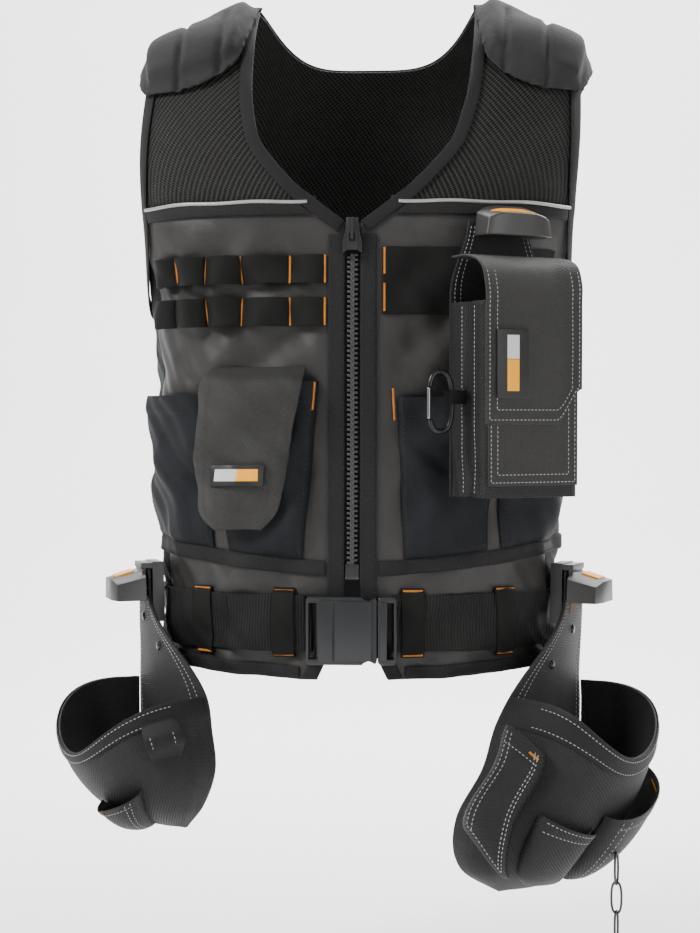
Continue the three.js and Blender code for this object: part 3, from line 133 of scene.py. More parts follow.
def reading(table, column, at):
    keys = table[:, 0]
    values = table[:, column]
    row = np.searchsorted(keys[1:-1], at, side="left")
    before = np.maximum(0, row - 1)
    after = np.minimum(len(keys) - 1, row + 2)
    span = keys[row + 1] - keys[row]
    share = np.clip((at - keys[row]) / span, 0, 1)
    rise = (values[row + 1] - values[before]) / (keys[row + 1] - keys[before]) * span
    fall = (values[after] - values[row]) / (keys[after] - keys[row]) * span
    square = share * share
    cube = square * share
    return ((2 * cube - 3 * square + 1) * values[row] + (cube - 2 * square + share) * rise
            + (3 * square - 2 * cube) * values[row + 1] + (cube - square) * fall)


ROOTED = SECTIONS.copy()
ROOTED[:, 0] = np.sqrt(SECTIONS[:, 0])


def level(z):
    root = np.sqrt(np.clip(-np.asarray(z, float) / VEST_DROP, 0, 1.2))
    return (CHEST_HALF * reading(ROOTED, 1, root), CHEST_FRONT * reading(ROOTED, 2, root),
            CHEST_BACK * reading(ROOTED, 3, root), reading(ROOTED, 4, root))


def depth_in(points):
    half, front, back, square = level(points[..., 2])
    reach = np.where(points[..., 1] < 0, front, back)
    return np.abs(points[..., 0] / half) ** square + np.abs(points[..., 1] / reach) ** square - 1


def outward(points):
    step = 0.4
    slopes = [depth_in(points + step * axis) - depth_in(points - step * axis) for axis in np.eye(3)]
    way = np.stack(slopes, -1)
    return way / np.maximum(np.linalg.norm(way, axis=-1, keepdims=True), 1e-12)


def lifted(points, out):
    return points + outward(points) * np.asarray(out, float)[..., None]


def settled(points):
    for _ in range(6):
        out = outward(points)
        slope = depth_in(points + 0.5 * out) - depth_in(points - 0.5 * out)
        points = points - out * np.clip(depth_in(points) / slope, -8, 8)[..., None]
    return points


GIRTH_STEPS = 72


def at_angle(z, angle):
    half, front, back, square = level(z)
    across = np.abs(np.sin(angle))
    ahead = np.abs(np.cos(angle))
    reach = np.where(np.cos(angle) > 0, front, back)
    radius = (across ** square + ahead ** square) ** (-1 / square)
    return np.stack([half * radius * np.sin(angle), -reach * radius * np.cos(angle), z + 0 * angle], -1)


def lengths_at(z):
    angles = np.pi * np.arange(GIRTH_STEPS + 1) / GIRTH_STEPS
    ring = at_angle(np.asarray(z, float)[..., None], angles)
    steps = np.linalg.norm(np.diff(ring, axis=-2), axis=-1)
    return np.concatenate([np.zeros_like(steps[..., :1]), np.cumsum(steps, -1)], -1)


def half_girth(z):
    return lengths_at(z)[..., -1]


def skin(along, z, out):
    along, z, out = np.broadcast_arrays(*(np.asarray(value, float) for value in (along, z, out)))
    lengths = lengths_at(z)
    whole = 2 * lengths[..., -1]
    wrapped = along - whole * np.round(along / whole)
    length = np.abs(wrapped)
    step = np.clip((lengths[..., 1:] < length[..., None]).sum(-1), 0, GIRTH_STEPS - 1)
    low = np.take_along_axis(lengths, step[..., None], -1)[..., 0]
    high = np.take_along_axis(lengths, step[..., None] + 1, -1)[..., 0]
    angle = np.pi * (step + (length - low) / (high - low)) / GIRTH_STEPS * np.where(wrapped < 0, -1, 1)
    return lifted(at_angle(z, angle), out)


def share_at(y, z):
    angles = np.pi * np.arange(GIRTH_STEPS + 1) / GIRTH_STEPS
    ring = at_angle(np.full(GIRTH_STEPS + 1, float(z)), angles)
    lengths = lengths_at(np.array(float(z)))
    return np.interp(y, ring[:, 1], lengths) / lengths[-1]


print("half girth at the belt", round(float(half_girth(np.array(BELT_LEVEL))), 1))

# %% Torso chart: over the shoulder, and the edges
HEART = -0.7 * CHEST_LINE


def row_angle(x, side):
    half, front, back, square = level(np.array(-float(CHEST_LINE)))
    wide = np.minimum(0.995, np.abs(x / half))
    reach = np.where(side < 0, front, back)
    y = side * reach * (1 - wide ** square) ** (1 / square)
    return np.arctan2(y, -CHEST_LINE - HEART)


def over(x, along, out):
    x, along, out = np.broadcast_arrays(*(np.asarray(value, float) for value in (x, along, out)))
    angle = np.abs(along) * row_angle(x, np.where(along < 0, -1, 1))
    near = np.zeros_like(x)
    far = np.full_like(x, 1.5 * CHEST_HALF)
    for _ in range(32):
        middle = (near + far) / 2
        points = np.stack([x, middle * np.sin(angle), HEART + middle * np.cos(angle)], -1)
        inside = depth_in(points) < 0
        near = np.where(inside, middle, near)
        far = np.where(inside, far, middle)
    return lifted(np.stack([x, near * np.sin(angle), HEART + near * np.cos(angle)], -1), out)


SIDE_FRONT = share_at(-ARMHOLE_FRONT, -CHEST_LINE)
SIDE_BACK = share_at(ARMHOLE_BACK, -CHEST_LINE)
CHEST_GIRTH = float(half_girth(np.array(-float(CHEST_LINE))))
END_FRONT = skin(SIDE_FRONT * CHEST_GIRTH, -CHEST_LINE, 0)[0]
END_BACK = skin(SIDE_BACK * CHEST_GIRTH, -CHEST_LINE, 0)[0]


def arm_edge(along):
    way = np.abs(along)
    end = np.where(along < 0, END_FRONT, END_BACK)
    return mix(STRAP_END, end, way ** 1.5) + 0.02 * STRAP_END * np.sin(np.pi * way)


def neck_edge(along):
    return NECK_HALF * reading(NECK_EDGE, 1, np.abs(along))


def back_neck(x):
    way = np.minimum(1, np.abs(x) / NECK_HALF)
    _, _, back, _ = level(np.array(-float(BACK_NECK_DROP)))
    angle = np.arctan2(back, -BACK_NECK_DROP - HEART)
    return angle / row_angle(0, 1) * (1 - way ** 4)


def inner_edge(z):
    below = np.maximum(0, (-z - ZIP_END) / (VEST_DROP - ZIP_END))
    return ZIP_OPENING + FRONT_PARTING * below * below


def hem_drop(share):
    return VEST_DROP - HEM_RISE * smooth(2 * np.abs(share))


def neck_foot(drop):
    return mix(NECK_FOOT, ZIP_OPENING, (drop - CHEST_LINE) / (NECK_DROP - CHEST_LINE))


def waist_drop(share):
    return 502 - 18 * smooth(2 * np.minimum(np.abs(share), 2 - np.abs(share)))


def armhole_drop(turn):
    return CHEST_LINE + ARMHOLE_DEPTH * np.sin(turn)


def armhole_share(turn):
    return mix(SIDE_FRONT, SIDE_BACK, (1 - np.cos(turn)) / 2)


def leaning(points):
    moved = points.copy()
    moved[..., 0] += SHOULDER_LEAN * smooth(1 + points[..., 2] / CHEST_LINE)
    return moved


print("side seams at", round(float(SIDE_FRONT), 3), round(float(SIDE_BACK), 3))


# %% [markdown]
# Cloth that is worn never lies like a shell. One field of soft folds is shared by all the layers, so that
# a tape, the panel under it and the pocket beside it sink together and never cross. It only sinks inwards.
# It fades out at the zip, above the chest line, under the armholes and at the middle of the back, where
# seams and bindings hold the cloth.

# %% Folds of the worn cloth
FOLD_DEPTH = 9


def folds(along, z):
    warped = along + 9 * np.sin(z / 31) + 5 * np.sin(z / 13 + 1)
    leant = z + 7 * np.sin(along / 27 + 0.5)
    upright = np.sin(warped / 9.5 + z / 22) * (0.6 + 0.4 * np.sin(z / 40))
    slanted = np.sin(leant / 11 - along / 17 + 1.3)
    small = np.sin(warped / 4.1 + leant / 5.3)
    depth = 0.5 + 0.28 * upright + 0.24 * slanted + 0.06 * small
    way = (np.abs(along) / CHEST_GIRTH - SIDE_FRONT) / (SIDE_BACK - SIDE_FRONT)
    seam = armhole_drop(np.arccos(1 - 2 * np.clip(way, 0, 1)))
    hold = smooth((np.abs(along) - 20) / 34) * smooth((-z - seam - 18) / 50)
    return -FOLD_DEPTH * hold * np.clip(depth, 0, 1)


def cloth_at(along, z, out):
    """A point on the folded cloth. The way round is wrapped first, so that all layers read the same folds"""
    girth = half_girth(np.asarray(z, float))
    wrapped = along - 2 * girth * np.round(along / (2 * girth))
    back_seam = smooth((girth - np.abs(wrapped)) / 40)
    return leaning(skin(wrapped, z, out + folds(wrapped, z) * back_seam))


def shoulder_at(x, along, out):
    return leaning(over(x, along, out))


print("deepest fold, mm", FOLD_DEPTH)

# %% [markdown]
# A finish is a material built from nodes. What several finishes share is a node group made once: a woven
# cloth with its threads crossing, the ribs of webbing, the holes of a mesh, the fine grain of a moulding,
# and the slow change of tone that wear and dust leave. Groups hand out tones and heights only, and the
# shader itself stays in each material.

# %% Node helpers
def socket(group, name, kind, way, value=None):
    made = group.interface.new_socket(name=name, in_out=way, socket_type="NodeSocket" + kind)
    if value is not None:
        made.default_value = value
    return made


def node(tree, kind, **settings):
    made = tree.nodes.new("ShaderNode" + kind)
    for key, value in settings.items():
        setattr(made, key, value)
    return made


def sum_node(tree, operation, first, second=None, third=None):
    made = node(tree, "Math", operation=operation)
    for index, value in enumerate((first, second, third)):
        if value is None:
            continue
        if isinstance(value, (int, float)):
            made.inputs[index].default_value = value
        else:
            tree.links.new(value, made.inputs[index])
    return made.outputs[0]


def new_group(name, inputs, outputs):
    group = bpy.data.node_groups.new(name, "ShaderNodeTree")
    for label, kind, value in inputs:
        socket(group, label, kind, "INPUT", value)
    for label, kind in outputs:
        socket(group, label, kind, "OUTPUT")
    start = group.nodes.new("NodeGroupInput")
    end = group.nodes.new("NodeGroupOutput")
    return group, start, end


def noise(tree, vector, scale, detail=2.0, roughness=0.5):
    made = node(tree, "TexNoise")
    made.inputs["Scale"].default_value = scale
    made.inputs["Detail"].default_value = detail
    made.inputs["Roughness"].default_value = roughness
    tree.links.new(vector, made.inputs["Vector"])
    return made.outputs[0]


print("node helpers ready")


# %% Woven cloth, ribs and mesh
def weave_group():
    group, start, end = new_group(
        "weave", [("Vector", "Vector", None), ("Threads", "Float", 1000.0)],
        [("Height", "Float"), ("Tone", "Float")])
    split = node(group, "SeparateXYZ")
    group.links.new(start.outputs["Vector"], split.inputs[0])
    x = sum_node(group, "MULTIPLY", split.outputs[0], start.outputs["Threads"])
    y = sum_node(group, "MULTIPLY", split.outputs[1], start.outputs["Threads"])
    warp = sum_node(group, "SINE", sum_node(group, "MULTIPLY", sum_node(group, "FRACT", x), math.pi))
    weft = sum_node(group, "SINE", sum_node(group, "MULTIPLY", sum_node(group, "FRACT", y), math.pi))
    cells = sum_node(group, "ADD", sum_node(group, "FLOOR", x), sum_node(group, "FLOOR", y))
    over_under = sum_node(group, "MODULO", sum_node(group, "ABSOLUTE", cells), 2.0)
    lift = sum_node(group, "MULTIPLY", sum_node(group, "SUBTRACT", warp, weft), over_under)
    height = sum_node(group, "ADD", weft, lift)
    group.links.new(height, end.inputs["Height"])
    slow = noise(group, start.outputs["Vector"], 260.0, 3.0)
    tone = sum_node(group, "MULTIPLY_ADD", height, 0.55, sum_node(group, "MULTIPLY", slow, 0.5))
    group.links.new(tone, end.inputs["Tone"])
    return group


def ribs_group():
    group, start, end = new_group(
        "ribs", [("Vector", "Vector", None), ("Threads", "Float", 400.0)],
        [("Height", "Float"), ("Tone", "Float")])
    split = node(group, "SeparateXYZ")
    group.links.new(start.outputs["Vector"], split.inputs[0])
    x = sum_node(group, "MULTIPLY", split.outputs[0], start.outputs["Threads"])
    y = sum_node(group, "MULTIPLY", split.outputs[1], start.outputs["Threads"])
    rib = sum_node(group, "SINE", sum_node(group, "MULTIPLY", sum_node(group, "FRACT", x), math.pi))
    stagger = sum_node(group, "MULTIPLY", sum_node(group, "FLOOR", x), 0.5)
    turned = sum_node(group, "FRACT", sum_node(group, "ADD", sum_node(group, "MULTIPLY", y, 1.6), stagger))
    twist = sum_node(group, "SINE", sum_node(group, "MULTIPLY", turned, math.pi))
    height = sum_node(group, "MULTIPLY_ADD", twist, 0.28, rib)
    group.links.new(height, end.inputs["Height"])
    slow = noise(group, start.outputs["Vector"], 190.0, 3.0)
    tone = sum_node(group, "MULTIPLY_ADD", rib, 0.6, sum_node(group, "MULTIPLY", slow, 0.45))
    group.links.new(tone, end.inputs["Tone"])
    return group


def net_group():
    group, start, end = new_group(
        "net", [("Vector", "Vector", None), ("Threads", "Float", 330.0)],
        [("Height", "Float"), ("Tone", "Float")])
    split = node(group, "SeparateXYZ")
    group.links.new(start.outputs["Vector"], split.inputs[0])
    along = sum_node(group, "ADD", split.outputs[0], sum_node(group, "MULTIPLY", split.outputs[1], 0.72))
    slant = sum_node(group, "MULTIPLY", split.outputs[1], 1.25)
    across = sum_node(group, "SUBTRACT", split.outputs[0], slant)
    x = sum_node(group, "MULTIPLY", along, start.outputs["Threads"])
    y = sum_node(group, "MULTIPLY", across, start.outputs["Threads"])
    first = sum_node(group, "SINE", sum_node(group, "MULTIPLY", sum_node(group, "FRACT", x), math.pi))
    second = sum_node(group, "SINE", sum_node(group, "MULTIPLY", sum_node(group, "FRACT", y), math.pi))
    hole = sum_node(group, "MULTIPLY", first, second)
    rim = sum_node(group, "SUBTRACT", 1.0, sum_node(group, "SMOOTH_MIN", hole, 0.75, 0.2))
    group.links.new(rim, end.inputs["Height"])
    slow = noise(group, start.outputs["Vector"], 120.0, 2.0)
    faded = sum_node(group, "MULTIPLY_ADD", slow, 0.3, -0.4)
    tone = sum_node(group, "MULTIPLY_ADD", rim, 1.3, faded)
    group.links.new(tone, end.inputs["Tone"])
    return group


def grain_group():
    group, start, end = new_group(
        "grain", [("Vector", "Vector", None), ("Threads", "Float", 1.0)],
        [("Height", "Float"), ("Tone", "Float")])
    scaled = node(group, "VectorMath", operation="SCALE")
    group.links.new(start.outputs["Vector"], scaled.inputs[0])
    group.links.new(start.outputs["Threads"], scaled.inputs["Scale"])
    pits = noise(group, scaled.outputs[0], 1400.0, 2.0, 0.6)
    clouds = noise(group, scaled.outputs[0], 60.0, 3.0)
    group.links.new(pits, end.inputs["Height"])
    tone = sum_node(group, "MULTIPLY_ADD", pits, 0.35, sum_node(group, "MULTIPLY", clouds, 0.6))
    group.links.new(tone, end.inputs["Tone"])
    return group


def wear_group():
    group, start, end = new_group(
        "wear", [("Vector", "Vector", None)], [("Dust", "Float"), ("Shine", "Float")])
    broad = noise(group, start.outputs["Vector"], 14.0, 4.0, 0.6)
    specks = noise(group, start.outputs["Vector"], 420.0, 2.0, 0.7)
    dust = sum_node(group, "MULTIPLY", sum_node(group, "SUBTRACT", broad, 0.42), 1.7)
    dusty = sum_node(group, "MULTIPLY_ADD", specks, 0.3, dust)
    held = node(group, "Clamp")
    group.links.new(dusty, held.inputs[0])
    group.links.new(held.outputs[0], end.inputs["Dust"])
    group.links.new(broad, end.inputs["Shine"])
    return group


GROUPS = {"weave": weave_group(), "ribs": ribs_group(), "net": net_group(), "grain": grain_group()}
WEAR = wear_group()
print("node groups", sorted(GROUPS))


# %% The finishes
def finish(name, dark, light, roughness, pattern, threads, relief, sheen=0.0, coat=0.0, metallic=0.0,
           dust=0.2, gloss=0.2, on_object=False):
    material = bpy.data.materials.new(name)
    material.use_nodes = True
    tree = material.node_tree
    tree.nodes.clear()
    end = node(tree, "OutputMaterial")
    shader = node(tree, "BsdfPrincipled")
    tree.links.new(shader.outputs[0], end.inputs[0])
    place = node(tree, "TexCoord")
    vector = place.outputs["Object" if on_object else "UV"]
    body = node(tree, "Group", node_tree=GROUPS[pattern])
    tree.links.new(vector, body.inputs["Vector"])
    body.inputs["Threads"].default_value = threads
    worn = node(tree, "Group", node_tree=WEAR)
    tree.links.new(place.outputs["Object"], worn.inputs["Vector"])
    tone = node(tree, "ValToRGB")
    tone.color_ramp.elements[0].position = 0.15
    tone.color_ramp.elements[0].color = (*dark, 1)
    tone.color_ramp.elements[1].position = 0.9
    tone.color_ramp.elements[1].color = (*light, 1)
    tree.links.new(body.outputs["Tone"], tone.inputs[0])
    dusted = node(tree, "Mix", data_type="RGBA")
    tree.links.new(sum_node(tree, "MULTIPLY", worn.outputs["Dust"], dust), dusted.inputs["Factor"])
    tree.links.new(tone.outputs[0], dusted.inputs["A"])
    dusted.inputs["B"].default_value = (*[min(1, 1.5 * value + 0.01) for value in light], 1)
    tree.links.new(dusted.outputs["Result"], shader.inputs["Base Color"])
    rough = sum_node(tree, "MULTIPLY_ADD", worn.outputs["Shine"], 0.16, roughness - 0.08)
    tree.links.new(rough, shader.inputs["Roughness"])
    bump = node(tree, "Bump")
    bump.inputs["Strength"].default_value = 0.8
    bump.inputs["Distance"].default_value = relief * MM
    tree.links.new(body.outputs["Height"], bump.inputs["Height"])
    tree.links.new(bump.outputs[0], shader.inputs["Normal"])
    shader.inputs["Metallic"].default_value = metallic
    shader.inputs["Specular IOR Level"].default_value = gloss
    shader.inputs["Sheen Weight"].default_value = sheen
    shader.inputs["Sheen Roughness"].default_value = 0.5
    shader.inputs["Coat Weight"].default_value = coat
    shader.inputs["Coat Roughness"].default_value = 0.3
    return material


LOOKS = {
    "coated_cloth": finish("coated_cloth", (0.0055, 0.005, 0.0047), (0.025, 0.0226, 0.021), 0.37, "weave",
                           1500.0, 0.08, gloss=0.42, dust=0.3),
    "side_cloth": finish("side_cloth", (0.0035, 0.0038, 0.0046), (0.014, 0.0148, 0.018), 0.6, "weave",
                         1500.0, 0.1, gloss=0.14),
    "mesh": finish("mesh", (0.0004, 0.0004, 0.0004), (0.03, 0.0296, 0.0275), 0.6, "net", 215.0, 0.9,
                   gloss=0.12),
    "pad_cloth": finish("pad_cloth", (0.011, 0.011, 0.0115), (0.029, 0.029, 0.03), 0.8, "grain", 1.0, 0.12,
                        sheen=0.05, on_object=True),
    "webbing": finish("webbing", (0.002, 0.0019, 0.0018), (0.014, 0.0132, 0.0127), 0.6, "ribs", 360.0, 0.5,
                      gloss=0.15),
    "loop_webbing": finish("loop_webbing", (0.002, 0.0019, 0.0018), (0.009, 0.0085, 0.0078), 0.62, "weave",
                           1100.0, 0.2, gloss=0.15),
    "tape": finish("tape", (0.004, 0.0038, 0.0038), (0.015, 0.0145, 0.0147), 0.6, "weave", 1300.0, 0.15),
    "canvas": finish("canvas", (0.008, 0.0078, 0.0074), (0.036, 0.035, 0.033), 0.6, "weave", 800.0, 0.4,
                     gloss=0.3, dust=0.25),
    "dark_canvas": finish("dark_canvas", (0.0022, 0.0021, 0.0021), (0.0125, 0.0122, 0.0118), 0.58, "weave",
                          620.0, 0.5, gloss=0.3),
    "moulded_plastic": finish("moulded_plastic", (0.007, 0.0082, 0.0088), (0.014, 0.016, 0.0172), 0.34,
                              "grain", 1.0, 0.04, coat=0.1, gloss=0.5, on_object=True),
    "clip_plastic": finish("clip_plastic", (0.02, 0.019, 0.0184), (0.038, 0.0358, 0.0346), 0.4, "grain", 1.0,
                           0.05, gloss=0.5, on_object=True),
    "orange_plastic": finish("orange_plastic", (0.86, 0.33, 0.002), (0.98, 0.42, 0.004), 0.4, "grain", 1.0,
                             0.03, gloss=0.4, dust=0.02, on_object=True),
    "orange_thread": finish("orange_thread", (0.4, 0.12, 0.012), (0.75, 0.3, 0.06), 0.6, "grain", 3.0, 0.1,
                            dust=0.05, on_object=True),
    "white_thread": finish("white_thread", (0.24, 0.24, 0.235), (0.5, 0.5, 0.485), 0.6, "grain", 3.0, 0.1,
                           dust=0.05, on_object=True),
    "dark_thread": finish("dark_thread", (0.008, 0.008, 0.008), (0.032, 0.031, 0.03), 0.6, "grain", 3.0,
                          0.1, on_object=True),
    "reflective": finish("reflective", (0.24, 0.24, 0.235), (0.42, 0.42, 0.41), 0.35, "grain", 2.0, 0.05,
                         metallic=0.3, gloss=0.5, on_object=True),
    "label": finish("label", (0.004, 0.004, 0.004), (0.011, 0.011, 0.0105), 0.45, "grain", 1.0, 0.06,
                    gloss=0.4, on_object=True),
    "white_print": finish("white_print", (0.5, 0.5, 0.49), (0.66, 0.66, 0.65), 0.5, "grain", 2.0, 0.03,
                          dust=0.05, on_object=True),
    "dark_metal": finish("dark_metal", (0.012, 0.012, 0.013), (0.03, 0.03, 0.032), 0.26, "grain", 1.5, 0.02,
                         metallic=0.7, gloss=0.5, on_object=True),
    "chain_steel": finish("chain_steel", (0.03, 0.029, 0.028), (0.1, 0.097, 0.092), 0.35, "grain", 1.5,
                          0.03, metallic=0.9, gloss=0.5, on_object=True),
    "steel": finish("steel", (0.16, 0.16, 0.165), (0.38, 0.38, 0.39), 0.28, "grain", 1.5, 0.02,
                    metallic=1.0, gloss=0.5, on_object=True),
}
print("finishes", len(LOOKS))

# %% [markdown]
# A sewn piece starts as a flat grid, the way it starts as a flat cut of cloth. Each of its points is then
# carried to its place, and its own flat measure is kept in the UV map, in metres, so that the weave keeps
# its scale. A Solidify modifier gives the cloth its wall.


# %% Cloth pieces
def own(obj, look, nodes=(), body="vest"):
    obj.data.materials.clear()
    obj.data.materials.append(LOOKS[look])
    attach(obj, body)
    if nodes:
        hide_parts(*nodes)
    return obj


def new_object(name, form):
    mesh = bpy.data.meshes.new(name)
    form.to_mesh(mesh)
    form.free()
    obj = bpy.data.objects.new(name, mesh)
    bpy.context.scene.collection.objects.link(obj)
    for polygon in mesh.polygons:
        polygon.use_smooth = True
    return obj


FLAT = {}


def cloth(name, columns, rows, place, wall, look, nodes=(), closed=False, turned=False, edge=0.35):
    form = bmesh.new()
    bmesh.ops.create_grid(form, x_segments=columns, y_segments=rows, size=0.5)
    spots = np.array([vert.co[:2] for vert in form.verts]) + 0.5
    u, v = spots[:, 0], spots[:, 1]
    points = place(u, v, np.zeros_like(u))
    outer = place(u, v, np.ones_like(u)) - points
    cell = np.round(v * rows).astype(int) * (columns + 1) + np.round(u * columns).astype(int)
    grid = np.empty(((rows + 1) * (columns + 1), 3))
    grid[cell] = points
    grid = grid.reshape(rows + 1, columns + 1, 3)
    along = np.zeros(grid.shape[:2])
    along[:, 1:] = np.cumsum(np.linalg.norm(np.diff(grid, axis=1), axis=-1), 1)
    up = np.zeros(grid.shape[:2])
    up[1:] = np.cumsum(np.linalg.norm(np.diff(grid, axis=0), axis=-1), 0)
    sides = np.diff(grid[:-1], axis=1), np.diff(grid[:, :-1], axis=0)
    area = np.linalg.norm(np.cross(*sides), axis=-1).sum()
    FLAT[name] = (along[:, -1].max() * MM, up[-1].max() * MM, area * MM * MM)
    measures = np.stack([(along - along[:, columns // 2:columns // 2 + 1]).reshape(-1)[cell],
                         up.reshape(-1)[cell]], -1) * MM
    if turned:
        measures = measures[:, ::-1]
    layer = form.loops.layers.uv.new("flat")
    for index, vert in enumerate(form.verts):
        vert.co = Vector(points[index]) * MM
        for loop in vert.link_loops:
            loop[layer].uv = measures[index]
    form.normal_update()
    facing = sum(vert.normal.dot(Vector(outer[index])) for index, vert in enumerate(form.verts))
    if facing < 0:
        bmesh.ops.reverse_faces(form, faces=form.faces)
    if closed:
        bmesh.ops.remove_doubles(form, verts=form.verts, dist=0.00002)
    obj = new_object(name, form)
    if wall:
        thick = obj.modifiers.new("wall", "SOLIDIFY")
        thick.thickness = wall * MM
        thick.offset = 1
        if edge:
            worn = obj.modifiers.new("edge", "BEVEL")
            worn.width = min(edge, 0.4 * wall) * MM
            worn.segments = 2
            worn.limit_method = "ANGLE"
            worn.angle_limit = math.radians(50)
    return own(obj, look, nodes)


def path_frames(points, outs, closed=False):
    ahead = np.roll(points, -1, 0) if closed else np.vstack([points[1:], points[-1:]])
    behind = np.roll(points, 1, 0) if closed else np.vstack([points[:1], points[:-1]])
    way = ahead - behind
    way /= np.linalg.norm(way, axis=-1, keepdims=True)
    side = np.cross(outs, way)
    side /= np.linalg.norm(side, axis=-1, keepdims=True)
    return way, side


def tape(name, stops, start, end, low, wall, look, nodes=(), closed=False, rows=4):
    """A tape along stops on the torso, from start to end sideways of them"""
    if closed:
        stops = np.vstack([stops, stops[:1]])
    outs = outward(stops)
    way, side = path_frames(stops, outs)
    if closed:
        ends = stops[1] - stops[-2]
        way[0] = way[-1] = ends / np.linalg.norm(ends)
        side[0] = side[-1] = np.cross(outs[0], way[0])
    last = len(stops) - 1

    def place(u, v, out):
        index = np.round(u * last).astype(int)
        crown = 0.5 * (1 - (2 * v - 1) ** 4)
        rest = settled(stops[index] + side[index] * mix(start, end, v)[:, None])
        return leaning(lifted(rest, low + crown + out))
    return cloth(name, last, rows, place, wall, look, nodes, closed=closed, turned=True)


print("cloth helpers ready")


# %% Panels and yokes
def front_panel(side):
    def place(u, v, out):
        z = -mix(hem_drop(mix(0, SIDE_FRONT, u)), CHEST_LINE + SEAM_GAP / 2, v)
        near = np.where(-z < NECK_DROP, neck_foot(-z), inner_edge(z))
        far = SIDE_FRONT * half_girth(z) - SEAM_GAP / 2
        return cloth_at(side * mix(near, far, u), z, out)
    return place


def side_panel(side):
    def place(u, v, out):
        share = armhole_share(np.pi * u)
        z = -mix(hem_drop(share), armhole_drop(np.pi * u) + SEAM_GAP, v)
        girth = half_girth(z)
        near = SIDE_FRONT * girth + SEAM_GAP / 2
        far = SIDE_BACK * girth - SEAM_GAP / 2
        way = (share - SIDE_FRONT) / (SIDE_BACK - SIDE_FRONT)
        return cloth_at(side * mix(near, far, way), z, out)
    return place


def back_panel(u, v, out):
    z = -mix(hem_drop(1), CHEST_LINE + SEAM_GAP / 2, v)
    girth = half_girth(z)
    trim = SEAM_GAP / 2 / girth
    share = mix(SIDE_BACK + trim, 2 - SIDE_BACK - trim, u)
    return cloth_at(share * girth, z, out)


RIDGE_SEAM = 0.5 * SEAM_GAP / CHEST_LINE


def front_yoke(side):
    def place(u, v, out):
        along = -mix(1 - RIDGE_SEAM, RIDGE_SEAM, v)
        return shoulder_at(side * mix(neck_edge(along), arm_edge(along), u), along, out)
    return place


def back_yoke(u, v, out):
    across = 2 * u - 1
    top = np.maximum(RIDGE_SEAM, back_neck(across * STRAP_END))
    along = mix(1 - RIDGE_SEAM, top, v)
    return shoulder_at(across * arm_edge(along), along, out)


SIDES = (("left", 1), ("right", -1))
panels = [cloth("back_panel_cloth", 90, 64, back_panel, PANEL_WALL, "side_cloth", ["back_panel"]),
          cloth("back_yoke_mesh", 84, 48, back_yoke, PANEL_WALL, "mesh", ["back_yoke"])]
for word, side in SIDES:
    panels.append(cloth(f"front_panel_{word}_cloth", 56, 96, front_panel(side), PANEL_WALL, "coated_cloth",
                        [f"front_panel_{word}"]))
    panels.append(cloth(f"side_panel_{word}_cloth", 40, 64, side_panel(side), PANEL_WALL, "side_cloth",
                        [f"side_panel_{word}"]))
    panels.append(cloth(f"front_yoke_{word}_mesh", 32, 48, front_yoke(side), PANEL_WALL, "mesh",
                        [f"front_yoke_{word}"]))
print("panels", len(panels))


# %% Neck and arm bindings
def neck_stops():
    drops = np.linspace(NECK_DROP, CHEST_LINE, 8, endpoint=False)
    foot = skin(neck_foot(drops), -drops, np.zeros(8))
    along = np.linspace(-1, 0, 50, endpoint=False)
    front = over(neck_edge(along), along, 0 * along)
    turn = np.linspace(0, np.pi, 61)
    x = NECK_HALF * np.cos(turn)
    back = over(x, back_neck(x), 0 * x)
    flip = np.array([-1, 1, 1])
    return np.vstack([foot, front, back, front[::-1] * flip, foot[::-1] * flip])


def arm_stops(side):
    along = np.linspace(-1, 1, 90, endpoint=False)
    upper = over(side * arm_edge(along), along, 0 * along)
    turn = np.pi * (1 - np.linspace(0, 1, 60, endpoint=False))
    drop = armhole_drop(turn)
    lower = skin(side * armhole_share(turn) * half_girth(-drop), -drop, 0 * drop)
    return np.vstack([upper, lower])


tape("neck_binding_tape", neck_stops(), -11, 0, ON_PANEL, TRIM_WALL, "tape", ["neck_binding"])
for word, side in SIDES:
    tape(f"armhole_binding_{word}_tape", arm_stops(side), 0, side * 13, ON_PANEL, TRIM_WALL, "tape",
         [f"armhole_binding_{word}"], closed=True)
print("bindings made")


# %% [markdown]
# A strip is given by two ways round the torso and two drops, so the same few lines make the front edges,
# the chest tapes, the waist band and the hem. Narrow tapes run behind the seams on the inside, where a real
# vest has its seam allowance, and they keep light out of the gaps between the panels.

# %% Front edges, chest tapes, waist band and hem
def strip(side, near, far, top, foot, low):
    """A level strip on the torso, between two ways round and two drops"""
    def place(u, v, out):
        z = -mix(foot(u), top(u), v)
        crown = 0.4 * (1 - (2 * v - 1) ** 4)
        return cloth_at(side * mix(near(z, v), far(z, v), u), z, low + crown + out)
    return place


FACING_WIDTH = 14


def facing(side):
    def place(u, v, out):
        z = -mix(VEST_DROP - 1, NECK_DROP + 11, v)
        near = inner_edge(z)
        crown = 0.4 * (1 - (2 * u - 1) ** 4)
        return cloth_at(side * mix(near, near + FACING_WIDTH, u), z, ON_PANEL + crown + out)
    return place


def chest_tape(side):
    return strip(side, lambda z, v: 42 + mix(-6, 6, v),
                 lambda z, v: SIDE_FRONT * half_girth(z) - 13 - 2 * SEAM_GAP,
                 lambda u: CHEST_LINE + 2 * SEAM_GAP, lambda u: CHEST_LINE + 11 + SEAM_GAP, ON_PANEL)


def ring_band(start, top, width):
    def place(u, v, out):
        share = mix(start, 2 - start, u)
        z = -top(share) - mix(width, 0, v)
        girth = half_girth(z)
        return cloth_at(share * girth, z, ON_PANEL + 0.4 * (1 - (2 * v - 1) ** 4) + out)
    return place


